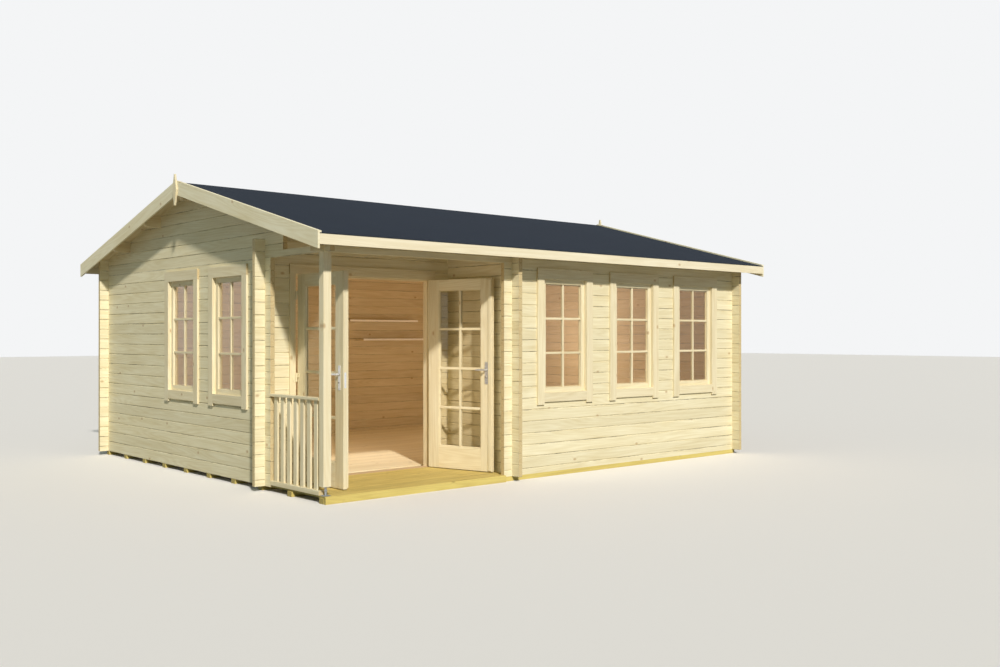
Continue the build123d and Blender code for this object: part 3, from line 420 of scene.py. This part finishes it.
def glazing_bars(low, high, pane, columns, rows, bar, place):
    """Bars on both faces of a pane that part it into lights; low and high are its sight edges."""
    for near, far in ((pane - PANE / 2 - BAR_DEPTH, pane - PANE / 2),
                      (pane + PANE / 2, pane + PANE / 2 + BAR_DEPTH)):
        for number in range(1, columns):
            x = low[0] + (high[0] - low[0]) * number / columns
            yield (x - bar / 2, near, low[1]), (x + bar / 2, far, high[1]), "z", place
        for number in range(1, rows):
            z = low[1] + (high[1] - low[1]) * number / rows
            yield ((low[0], near + CROSS_BAR_BACK, z - bar / 2), (high[0], far - CROSS_BAR_BACK, z + bar / 2),
                   "x", place)


def glazing_beads(low, high, near, far, bead, place):
    """A slim bead round the sight edges of a pane, on one face."""
    yield low[0:1] + (near, low[1]), (low[0] + bead, far, high[1]), "z", place
    yield (high[0] - bead, near, low[1]), high[0:1] + (far, high[1]), "z", place
    yield (low[0] + bead, near, low[1]), (high[0] - bead, far, low[1] + bead), "x", place
    yield (low[0] + bead, near, high[1] - bead), (high[0] - bead, far, high[1]), "x", place


woods = (casing_wood, sawn_ends)
make_boards("front_window_joinery", [b for p in front_places for b in window_boards(p)], woods, "cabin",
            ["front_window_frames"])
make_boards("gable_window_joinery", [b for p in gable_places for b in window_boards(p)], woods, "cabin",
            ["gable_window_frames"])
window_places = front_places + gable_places
make_boards("window_sash_frames", [b for p in window_places for b in sash_boards(p)], woods, "cabin",
            ["window_sashes"])
sight = (half_w - SASH, half_h - SASH)
slim = []
for place in window_places:
    slim += glazing_bars((-sight[0], -sight[1]), sight, WINDOW_PANE, *WINDOW_LIGHTS, BAR, place)
    slim += glazing_beads((-sight[0], -sight[1]), sight, WINDOW_PANE + PANE / 2,
                          WINDOW_PANE + PANE / 2 + BEAD, BEAD, place)
make_boards("window_bars_and_beads", slim, woods, "cabin", ease=SLIM_EASE)

# Panes
# Clear float glass, 4 mm thick, held by beads in the sashes and the door leaves. It shows the room, and
# at a slant it mirrors what is round the cabin, a little bent by waves 770 mm long.
GLASS_WAVE = 0.77
CLEAR_SHARE = 0.96
GLASS_RELIEF = 0.004


def float_glass(name):
    """Clear glass as a pale mirror over a clear sheet: from 4 % seen square on to all of it at a glance."""
    material, tree, shader = new_material(name)
    shader.inputs["Base Color"].default_value = linear("#E4EAEA")
    shader.inputs["Metallic"].default_value = 1.0
    shader.inputs["Roughness"].default_value = 0.03
    place = add(tree, "TexCoord", {}).outputs["Object"]
    wave = add(tree, "TexNoise", {"Vector": place, "Scale": 1 / GLASS_WAVE, "Detail": 1.0})
    bump = add(tree, "Bump", {"Strength": 0.04, "Distance": GLASS_RELIEF, "Height": wave})
    tree.links.new(bump.outputs[0], shader.inputs["Normal"])
    slant = add(tree, "LayerWeight", {"Blend": 0.5}).outputs["Facing"]
    steep = add(tree, "Math", {0: slant, 1: 4.0}, operation="POWER")
    share = add(tree, "Math", {0: steep, 1: CLEAR_SHARE, 2: 1 - CLEAR_SHARE}, operation="MULTIPLY_ADD")
    clear = add(tree, "BsdfTransparent", {"Color": linear("#FBF9F6")})
    mixed = add(tree, "MixShader", {0: share, 1: clear, 2: shader})
    tree.links.new(mixed.outputs[0], tree.nodes["Material Output"].inputs["Surface"])
    return material


glass = float_glass("clear_float_glass")
for name in ("window_panes", "left_door_pane", "right_door_pane"):
    finish_node(name, glass)

# Door leaves
# Glazed leaves of planed spruce: stiles run full height, rails sit between them, and bars part the glass
# two wide and four high. Each leaf is drawn in its own frame, with the origin on its hinge pins.
PIN_STANDOFF = 0.009
LEAF_WIDTH = 0.7705
LEAF_GAP = 0.005
LEAF_DEPTH = 0.040
STILE = 0.128
TOP_RAIL = 0.105
BOTTOM_RAIL = 0.218
DOOR_BAR = 0.025
DOOR_BEAD = (0.011, 0.012)
COVER = (0.031, 0.013)
COVER_INSET = 0.002
COVER_ENDS = (0.010, 0.016)
LEAF_EASE = 0.002
DOOR_LIGHTS = (2, 4)
# Both leaves are drawn as they stand at rest and in the photograph, turned open by these degrees.
OPEN_ANGLES = (("left_door", -90), ("right_door", 105))
leaf_low, leaf_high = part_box("left_door_leaf")[0].z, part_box("left_door_leaf")[1].z
door_joints = {joint["child"]: joint for joint in frame["joints"]}
leaf_places = {}
for body, angle in OPEN_ANGLES:
    pin = door_joints[body]["pos_m"]
    turn = math.radians(angle)
    leaf_places[body] = facing((pin[0], pin[1], 0), Vector((math.cos(turn), math.sin(turn), 0)),
                               Vector((-math.sin(turn), math.cos(turn), 0)))

for side, way in (("left", 1), ("right", -1)):
    body = side + "_door"
    place = leaf_places[body]
    near, far = PIN_STANDOFF, PIN_STANDOFF + LEAF_DEPTH
    pane = PIN_STANDOFF + LEAF_DEPTH / 2
    edges = sorted((way * LEAF_GAP, way * (LEAF_GAP + LEAF_WIDTH)))
    inner = (edges[0] + STILE, edges[1] - STILE)
    bottom, top = leaf_low + BOTTOM_RAIL, leaf_high - TOP_RAIL
    frame_boards = [((edges[0], near, leaf_low), (inner[0], far, leaf_high), "z", place),
                    ((inner[1], near, leaf_low), (edges[1], far, leaf_high), "z", place),
                    ((inner[0], near, leaf_low), (inner[1], far, bottom), "x", place),
                    ((inner[0], near, top), (inner[1], far, leaf_high), "x", place)]
    make_boards(side + "_leaf_frame", frame_boards, woods, body, [side + "_door_leaf"], ease=LEAF_EASE)
    slim = list(glazing_bars((inner[0], bottom), (inner[1], top), pane, *DOOR_LIGHTS, DOOR_BAR, place))
    for near, far in ((pane - PANE / 2 - DOOR_BEAD[1], pane - PANE / 2),
                      (pane + PANE / 2, pane + PANE / 2 + DOOR_BEAD[1])):
        slim += glazing_beads((inner[0], bottom), (inner[1], top), near, far, DOOR_BEAD[0], place)
    make_boards(side + "_leaf_bars_and_beads", slim, woods, body, ease=SLIM_EASE)
    cover = sorted(way * (LEAF_GAP + LEAF_WIDTH - COVER_INSET - wide) for wide in (0, COVER[0]))
    strip = [((cover[0], PIN_STANDOFF + LEAF_DEPTH, leaf_low + COVER_ENDS[0]),
              (cover[1], PIN_STANDOFF + LEAF_DEPTH + COVER[1], leaf_high - COVER_ENDS[1]), "z", place)]
    make_boards(side + "_leaf_cover_strip", strip, woods, body, ease=LEAF_EASE)

# Door frame and threshold
# Channels of planed spruce that clasp the sawn log ends, under a head of the same section. The threshold is
# coloured deeper and warmer than the planed wood round it.
# Planed uprights and level pieces have the cream of the window boards. Only the grain turns.
joinery_z = spruce("planed_spruce_upright", "z", pale="#F2E8CA", deep="#DCCBA2", knots=0.05)
joinery_x = spruce("planed_spruce_level", "x", pale="#F2E8CA", deep="#DCCBA2", knots=0.05)
finish_node("door_jambs", joinery_z)
finish_node("door_head", joinery_x)
finish_node("door_threshold",
            spruce("deeper_spruce_threshold", "x", pale="#D2B894", deep="#BC9F78", knots=0.0))

# Hinges and lever handles
# Satin stainless levers on screwed back plates with a key cylinder. The two-knuckle hinges are coated in the
# cream of the wood, as the photograph shows no bare metal there.
SCRATCH = (0.0011, 0.017)
SPANGLE = 0.0083
SCRATCH_GLOSS = 0.18
DULL_STEEL = "#8E9296"
PORCH_MIDDLE = 0.55


def steel(name, colour, rough, flower=0.0, coat=None):
    """Brushed or plated metal: scratches in the gloss, and zinc's flower pattern where it is plated.

    The scratches, 1.1 mm wide and 17 mm long, are coarser than the real ones so that they show.
    A coat, where there is one, covers what lies near the door wall, which is the hinges.
    """
    material, tree, shader = new_material(name)
    place = add(tree, "TexCoord", {}).outputs["Object"]
    fine = add(tree, "Mapping",
               {"Vector": place, "Scale": (1 / SCRATCH[0], 1 / SCRATCH[0], 1 / SCRATCH[1])})
    fine = add(tree, "TexNoise", {"Vector": fine, "Scale": 1.0, "Detail": 2.0})
    spots = add(tree, "TexVoronoi", {"Vector": place, "Scale": 1 / SPANGLE}).outputs["Distance"]
    gloss = add(tree, "Math", {0: fine, 1: SCRATCH_GLOSS, 2: rough - SCRATCH_GLOSS / 2},
                operation="MULTIPLY_ADD")
    gloss = add(tree, "Math", {0: spots, 1: flower, 2: gloss}, operation="MULTIPLY_ADD")
    share = add(tree, "Math", {0: spots, 1: 0.3 + flower}, operation="MULTIPLY")
    tint = add(tree, "Mix", {0: share, 6: linear(colour), 7: linear(DULL_STEEL)}, data_type="RGBA").outputs[2]
    shader.inputs["Metallic"].default_value = 1.0
    if coat:
        depth = add(tree, "SeparateXYZ", {0: place}).outputs[1]
        bare = add(tree, "Math", {0: depth, 1: front_wall_y + PORCH_MIDDLE}, operation="LESS_THAN")
        tint = add(tree, "Mix", {0: bare, 6: linear(coat), 7: tint}, data_type="RGBA").outputs[2]
        tree.links.new(bare.outputs[0], shader.inputs["Metallic"])
    tree.links.new(tint, shader.inputs["Base Color"])
    tree.links.new(gloss.outputs[0], shader.inputs["Roughness"])
    return material


def turned(shape, outline, place, sides=20):
    """Adds a turned part to a bmesh; outline holds radius and height from its foot up, along its own Z."""
    rings = []
    for radius, height in outline:
        ring = []
        for n in range(sides):
            turn = 2 * math.pi * n / sides
            rim = Vector((radius * math.cos(turn), radius * math.sin(turn), height))
            ring.append(shape.verts.new(place @ rim))
        rings.append(ring)
    for lower, upper in zip(rings, rings[1:]):
        for n in range(sides):
            shape.faces.new((lower[n], lower[n - 1], upper[n - 1], upper[n])).normal_flip()
    shape.faces.new(rings[-1])
    shape.faces.new(rings[0][::-1])


# Satin steel gives a bright face with broad soft lights. Nickel on brass is smoother, so it shines sharper.
handle_steel = steel("satin_stainless_steel", "#EDEEF0", 0.52)
fittings_steel = steel("satin_steel_and_cream_hinge_coat", "#EDEEF0", 0.52, coat="#E6DBB8")
brass = steel("nickel_plated_brass", "#BDB9AC", 0.25)
for side in ("left", "right"):
    finish_node(side + "_door_lever", handle_steel)
    finish_node(side + "_door_fittings", fittings_steel)
finish_node("hinge_pins", fittings_steel)

PLATE = 0.004
PLATE_HEIGHT = 0.215
HANDLE_INSET = 0.062
LEVER_ABOVE = 0.031
CYLINDER_BELOW = 0.072
SCREW_INSET = 0.012
FINE_SIDES = 28
SCREW = [(0.0042, 0.0), (0.0042, 0.0004), (0.0034, 0.0012), (0.0016, 0.0017)]
BARREL = [(0.0085, 0.0), (0.0085, 0.0042), (0.0078, 0.005), (0.0030, 0.005), (0.0030, 0.0036)]
COLLAR = [(0.0125, 0.0), (0.0125, 0.0035), (0.0115, 0.0048), (0.0098, 0.0048)]
plate_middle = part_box("left_door_lever")[0].z / 2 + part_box("left_door_lever")[1].z / 2 - LEVER_ABOVE
lever_z = plate_middle + LEVER_ABOVE
screw_heights = (plate_middle - PLATE_HEIGHT / 2 + SCREW_INSET, plate_middle + PLATE_HEIGHT / 2 - SCREW_INSET)
for side, way in (("left", 1), ("right", -1)):
    place = leaf_places[side + "_door"]
    x = way * (LEAF_GAP + LEAF_WIDTH - HANDLE_INSET)
    trim = bmesh.new()
    for face, out in ((PIN_STANDOFF - PLATE, -1), (PIN_STANDOFF + LEAF_DEPTH + PLATE, 1)):
        look = Matrix.Rotation(-out * math.pi / 2, 4, "X")
        for z in screw_heights:
            turned(trim, SCREW, place @ Matrix.Translation((x, face, z)) @ look)
        cylinder = Matrix.Translation((x, face, lever_z - CYLINDER_BELOW))
        turned(trim, BARREL, place @ cylinder @ look, FINE_SIDES)
        turned(trim, COLLAR, place @ Matrix.Translation((x, face, lever_z)) @ look, FINE_SIDES)
    add_piece(side + "_lock_cylinder_and_screws", trim, (brass,), side + "_door")

# Lock plate
# A satin steel plate let into the free edge of the left leaf. The latch and the bolt are drawn in, so they
# hardly stand out from it.
FACE_PLATE = (0.020, 0.135)
FACE_PLATE_BELOW = 0.118
FACE_PLATE_SUNK = 0.002
FACE_PLATE_PROUD = 0.0008
BOLT_HEIGHT = 0.034
LATCH_HEIGHT = 0.016
BOLT_WIDTH = 0.012
BOLT_PROUD = 0.0016
free_edge = LEAF_GAP + LEAF_WIDTH
middle_y = PIN_STANDOFF + LEAF_DEPTH / 2
plate_low = (free_edge - FACE_PLATE_SUNK, middle_y - FACE_PLATE[0] / 2, lever_z - FACE_PLATE_BELOW)
plate_high = (free_edge + FACE_PLATE_PROUD, middle_y + FACE_PLATE[0] / 2,
              lever_z - FACE_PLATE_BELOW + FACE_PLATE[1])
parts = [(plate_low, plate_high, "z", leaf_places["left_door"])]
for z, tall in ((lever_z - CYLINDER_BELOW, BOLT_HEIGHT), (lever_z, LATCH_HEIGHT)):
    parts.append(((free_edge, middle_y - BOLT_WIDTH / 2, z - tall / 2),
                  (free_edge + BOLT_PROUD, middle_y + BOLT_WIDTH / 2, z + tall / 2),
                  "z", leaf_places["left_door"]))
make_boards("left_lock_face_plate", parts, (handle_steel, handle_steel), "left_door", ease=0.0004)

# Porch post, railing and foot
# A planed square post stands on a galvanised foot. Flat upright boards fill the railing between a handrail
# and a bottom rail. Hot-dip zinc gives the foot a dull grey face with a flower pattern 8 mm wide.
finish_node("corner_post", joinery_z)
HANDRAIL_THICKNESS = 0.024
BOTTOM_RAIL_SIZE = (0.045, 0.041)
RAIL_BOARD = (0.020, 0.057)
RAIL_PITCH = 0.1115
low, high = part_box("porch_railing")
rail_x = left_wall_x + BOTTOM_RAIL_SIZE[0] / 2
rail_low, rail_high = low.z + BOTTOM_RAIL_SIZE[1], high.z - HANDRAIL_THICKNESS
sticks = [((low.x, low.y, rail_high), high, "y", Matrix()),
          ((rail_x - BOTTOM_RAIL_SIZE[0] / 2, low.y, low.z),
           (rail_x + BOTTOM_RAIL_SIZE[0] / 2, high.y, rail_low), "y", Matrix())]
rail_boards = int((high.y - low.y - (RAIL_PITCH - RAIL_BOARD[1]) / 2) / RAIL_PITCH)
for number in range(rail_boards):
    y = (low.y + high.y) / 2 + (number - (rail_boards - 1) / 2) * RAIL_PITCH
    sticks.append(((rail_x - RAIL_BOARD[0] / 2, y - RAIL_BOARD[1] / 2, rail_low),
                   (rail_x + RAIL_BOARD[0] / 2, y + RAIL_BOARD[1] / 2, rail_high), "z", Matrix()))
make_boards("railing_boards", sticks, woods, "cabin", ["porch_railing"], ease=SLIM_EASE)
finish_node("post_foot", steel("hot_dip_galvanised_steel", "#A9ADB0", 0.45, flower=0.3))

# Porch deck and bearers
# Pressure-treated softwood: boards grooved along their length, with gaps for the rain, on plain beams. The
# treatment gives a yellow tone with a hint of green, and the face is duller than planed spruce.
TREATED = {"knot": "#8A7036", "rough": 0.7}
treated = spruce("treated_deck_softwood", "board", pale="#D8C276", deep="#A28B48", knots=0.05, vary=0.10,
                 **TREATED)
# Sawn ends are greyer. The edge board and the bearers are a brighter yellow than the deck.
treated_ends = spruce("treated_softwood_ends", "board", pale="#B5A665", deep="#8E8350", knots=0.0,
                      rough=0.8)
treated_x = spruce("treated_softwood_level", "x", pale="#E2CF7C", deep="#C4AD62", end="#B5A463", knots=0.10,
                   **TREATED)
DECK_ROWS = 8
BOARD_GAP = 0.005
RIBS = 7
RIB_SIDE = 0.0015
RIB_ROOT = 0.004
GROOVE_DEPTH = 0.002
low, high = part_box("porch_deck")
edge_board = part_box("deck_edge_board")
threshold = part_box("door_threshold")
pitch = (threshold[0].y + BOARD_GAP - low.y) / DECK_ROWS
rib = (pitch - BOARD_GAP) / RIBS
sticks = []
for number in range(DECK_ROWS):
    y = low.y + number * pitch
    end = high.x if y > front_wall_y + LOG else edge_board[1].x
    sticks.append(((low.x, y, low.z), (end, y + pitch - BOARD_GAP, high.z - GROOVE_DEPTH), "x", Matrix()))
    for n in range(RIBS):
        sticks.append(((low.x, y + n * rib + RIB_SIDE, high.z - RIB_ROOT),
                       (end, y + (n + 1) * rib - RIB_SIDE, high.z), "x", Matrix()))
make_boards("deck_boards", sticks, (treated, treated_ends), "cabin", ["porch_deck"], ease=0.001,
            group=RIBS + 1)
finish_node("deck_edge_board", treated_x)
finish_node("foundation_bearers", treated_x)

# Room floor
# Planed spruce floor boards laid along the room, with fine open joints between them. They are smoother than
# the logs, so they shine a little more.
FLOOR_BOARD = 0.112
FLOOR_GAP = 0.0014
floor_wood = spruce("planed_spruce_floor", "board", pale="#F8EBCC", deep="#E6D2A8", knots=0.06, rough=0.5)
low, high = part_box("room_floor")
corner_x, corner_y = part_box("door_wall_right")[1].x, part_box("porch_wall")[1].y
porch_wall_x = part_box("porch_wall")[0].x
rows = round((high.y - low.y) / FLOOR_BOARD)
width = (high.y - low.y) / rows
sticks = []
for number in range(rows):
    near = low.y + number * width + FLOOR_GAP / 2
    far = near + width - FLOOR_GAP
    start = corner_x if near < corner_y else low.x
    sticks.append(((start, near, low.z), (high.x, far, high.z), "x", Matrix()))
    if near > threshold[1].y and far < corner_y:
        sticks.append(((low.x, near, low.z), (porch_wall_x, far, high.z), "x", Matrix()))
make_boards("floor_boards", sticks, (floor_wood, sawn_ends), "cabin", ["room_floor"], ease=0.0012)

# Beams and roof boards
# Planed beams from verge to verge, cut back at 45 degrees below. Tongued and grooved boards lie across them,
# and their bevelled joints show from below. Both have a deeper tone than the walls, and more knots.
ROOF_BOARD = 0.0955
ROOF_THICKNESS = 0.018
finish_node("roof_purlins", spruce("planed_spruce_beams", "x", pale="#EBDDB8", deep="#D2BB8C", knots=0.10))
roof_wood = spruce("planed_spruce_roof_boards", "board", pale="#E9DAB2", deep="#D0B888", knots=0.10)
low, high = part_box("roof_boards_front")
rows = round((high.x - low.x) / ROOF_BOARD)
width = (high.x - low.x) / rows
run = -low.y / math.cos(ROOF_ANGLE)
trim_end = ROOF_THICKNESS * math.tan(ROOF_ANGLE)
for name, side in (("front", 1), ("back", -1)):
    flat = Matrix.Translation((0, side * low.y, low.z)) @ Matrix.Rotation(side * ROOF_ANGLE, 4, "X")
    ends = sorted((side * trim_end, side * run))
    sticks = [((low.x + n * width, ends[0], 0), (low.x + (n + 1) * width, ends[1], ROOF_THICKNESS), "y", flat)
              for n in range(rows)]
    make_boards(f"roof_boarding_{name}", sticks, (roof_wood, sawn_ends), "cabin", [f"roof_boards_{name}"],
                ease=0.003)

# Roof sheet
# Slate-grey bitumen sheet with a fine mineral face, laid in one piece down each slope. The grit is dull, so
# the roof hardly shines; it is drawn at 1.5 mm, coarser than the real one, so that it shows.
GRIT = 0.0015
GRIT_SHARE = 0.7
GRIT_RELIEF = 0.0006
SHEET_PATCH = 0.7
PATCH_SHARE = 0.5
SHEET_LEVEL = -0.1


def mineral_sheet(name):
    """Dull grey sheet with grit, and faint patches 700 mm wide."""
    material, tree, shader = new_material(name)
    place = add(tree, "TexCoord", {}).outputs["Object"]
    grit = add(tree, "TexNoise", {"Vector": place, "Scale": 1 / GRIT, "Detail": 2.0})
    patches = add(tree, "TexNoise", {"Vector": place, "Scale": 1 / SHEET_PATCH, "Detail": 4.0})
    shade = add(tree, "Math", {0: grit, 1: GRIT_SHARE, 2: SHEET_LEVEL}, operation="MULTIPLY_ADD")
    shade = add(tree, "Math", {0: patches, 1: PATCH_SHARE, 2: shade}, operation="MULTIPLY_ADD")
    tint = add(tree, "Mix", {0: shade, 6: linear("#161E29"), 7: linear("#202936")}, data_type="RGBA")
    bump = add(tree, "Bump", {"Strength": 0.4, "Distance": GRIT_RELIEF, "Height": grit})
    tree.links.new(tint.outputs[2], shader.inputs["Base Color"])
    tree.links.new(bump.outputs[0], shader.inputs["Normal"])
    shader.inputs["Roughness"].default_value = 0.9
    shader.inputs["Specular IOR Level"].default_value = 0.12
    return material


sheet = mineral_sheet("slate_grey_mineral_sheet")
finish_node("roof_felt_front", sheet)
finish_node("roof_felt_back", sheet)

# Barge boards, fascias, strips and finials
# Planed spruce boards along the roof's edges, with strips over the sheet's rim and a finial at each end of
# the ridge. Barge boards and strips are paler than the logs, and their grain follows the slope.
slope_wood = spruce("planed_spruce_barge", "slope", pale="#FAF3D8", deep="#E4D6AE", knots=0.06)
for name in ("left_barge_boards", "right_barge_boards", "roof_strips"):
    finish_node(name, slope_wood)
# The fascias keep the logs' cream, with a fainter figure.
finish_node("fascia_boards", spruce("planed_spruce_fascia", "x", pale="#F3EAD2", deep="#E1D3B2"))
finish_node("gable_finials", joinery_z)

# Wall shelves
# Two long spruce shelves on the back wall. They look whitened, stand out pale from the logs behind them, and
# have no knots.
finish_node("wall_shelves", spruce("whitened_spruce_shelf", "x", pale="#FFFAF2", deep="#FAF0E2", knots=0.0))

# Floor, backdrop and lights
# A pale studio floor that sends up little light, one key light from the front left, and a soft sky that is
# brighter and greener at the left. Two warm lamps light the room, and two weak ones in the porch stand for
# the light that its deck and its open side throw in.
SKY = 0.25
SKY_TURN = (-0.8, 0.1)
KEY = 3.55
KEY_FROM = (-1.0, -2.4, 1.82)
KEY_WIDTH = 3
ROOM_LAMPS = (("room_lamp_right", 26.0, (1.9, -0.1, 1.3)), ("room_lamp_left", 25.0, (-1.4, 0.4, 1.25)))
LAMP_RADIUS = 0.3
PORCH_LAMPS = (("porch_bounce", 0.4, "#FFE8CE", 180, (-1.85, -1.88, 0.10), (math.pi, 0, 0)),
               ("porch_fill", 1.6, "#FFF0DC", 80, (-2.35, -1.9, 1.05), (0, -math.pi / 2, 0)))
PORCH_LAMP_SIZE = (1.5, 0.65)
FLOOR_REACH = 60
FLOOR_BELOW = 0.0005
ground = bpy.data.meshes.new("studio_floor")
rim = [(x * FLOOR_REACH, y * FLOOR_REACH, 0) for x, y in ((-1, -1), (1, -1), (1, 1), (-1, 1))]
ground.from_pydata(rim, [], [(0, 1, 2, 3)])
studio_floor = bpy.data.objects.new("studio_floor", ground)
studio_floor.location.z = -FLOOR_BELOW
bpy.context.scene.collection.objects.link(studio_floor)


def seen_rays(tree):
    """One where the camera, a reflection or a clear pane looks at the backdrop, zero where it gives light."""
    rays = add(tree, "LightPath", {}).outputs
    mirror = add(tree, "Math", {0: rays["Is Glossy Ray"], 1: rays["Is Transmission Ray"]},
                 operation="MAXIMUM")
    return add(tree, "Math", {0: rays["Is Camera Ray"], 1: mirror}, operation="MAXIMUM")


# Matt paint: the eye sees it pale, and it gives the cabin no more light than a mid grey would.
floor_paint, tree, shader = new_material("pale_studio_floor")
colour = add(tree, "Mix", {0: seen_rays(tree), 6: linear("#8C8B85"), 7: linear("#F1EEEE")}, data_type="RGBA")
tree.links.new(colour.outputs[2], shader.inputs["Base Color"])
shader.inputs["Roughness"].default_value = 0.9
ground.materials.append(floor_paint)

world = bpy.data.worlds.new("studio")
bpy.context.scene.world = world
world.use_nodes = True
tree = world.node_tree
sky = tree.nodes["Background"]
away = add(tree, "SeparateXYZ", {0: add(tree, "TexCoord", {}).outputs["Generated"]}).outputs[0]
side_light = add(tree, "MapRange", {0: away, 1: SKY_TURN[0], 2: SKY_TURN[1], 3: 0.0, 4: 1.0})
tint = add(tree, "Mix", {0: side_light, 6: linear("#D8F6E8"), 7: linear("#C2D2D4")}, data_type="RGBA")
tree.links.new(tint.outputs[2], sky.inputs["Color"])
sky.inputs["Strength"].default_value = SKY
bright = add(tree, "Background", {"Color": linear("#F4F5F6"), "Strength": 1.0})
both = add(tree, "MixShader", {0: seen_rays(tree), 1: sky, 2: bright})
tree.links.new(both.outputs[0], tree.nodes["World Output"].inputs["Surface"])

key = bpy.data.lights.new("key_light", "SUN")
key.energy = KEY
key.angle = math.radians(KEY_WIDTH)
key.color = linear("#FFFAF0")[:3]
key_light = bpy.data.objects.new("key_light", key)
key_light.rotation_mode = "QUATERNION"
key_light.rotation_quaternion = Vector(KEY_FROM).to_track_quat("Z", "Y")
bpy.context.scene.collection.objects.link(key_light)

soft_lamps = []
for name, power, place in ROOM_LAMPS:
    lamp = bpy.data.lights.new(name, "POINT")
    lamp.shadow_soft_size = LAMP_RADIUS
    lamp.energy = power
    lamp.color = linear("#FFEAD6")[:3]
    soft_lamps.append(bpy.data.objects.new(name, lamp))
    soft_lamps[-1].location = place
for name, power, colour, spread, place, turn in PORCH_LAMPS:
    lamp = bpy.data.lights.new(name, "AREA")
    lamp.shape = "RECTANGLE"
    lamp.size, lamp.size_y = PORCH_LAMP_SIZE
    lamp.energy = power
    lamp.spread = math.radians(spread)
    lamp.color = linear(colour)[:3]
    soft_lamps.append(bpy.data.objects.new(name, lamp))
    soft_lamps[-1].location = place
    soft_lamps[-1].rotation_euler = turn
for soft_lamp in soft_lamps:
    soft_lamp.visible_camera = False
    soft_lamp.visible_glossy = False
    bpy.context.scene.collection.objects.link(soft_lamp)

# Camera
# The photograph's viewing angle: from off the front left corner, 1.4 m over the ground and nearly level. It
# was solved from straight edges of the cabin.
LENS = 36.99
EYE = (-7.3715, -9.7405, 1.404)
TILT = 90.084
HEADING = -41.414
lens = bpy.data.cameras.new("camera")
lens.lens = LENS
lens.sensor_width = 36
lens.clip_end = 200
camera = bpy.data.objects.new("camera", lens)
camera.location = EYE
camera.rotation_euler = (math.radians(TILT), 0, math.radians(HEADING))
bpy.context.scene.collection.objects.link(camera)
bpy.context.scene.camera = camera
bpy.context.scene.view_settings.view_transform = "Standard"
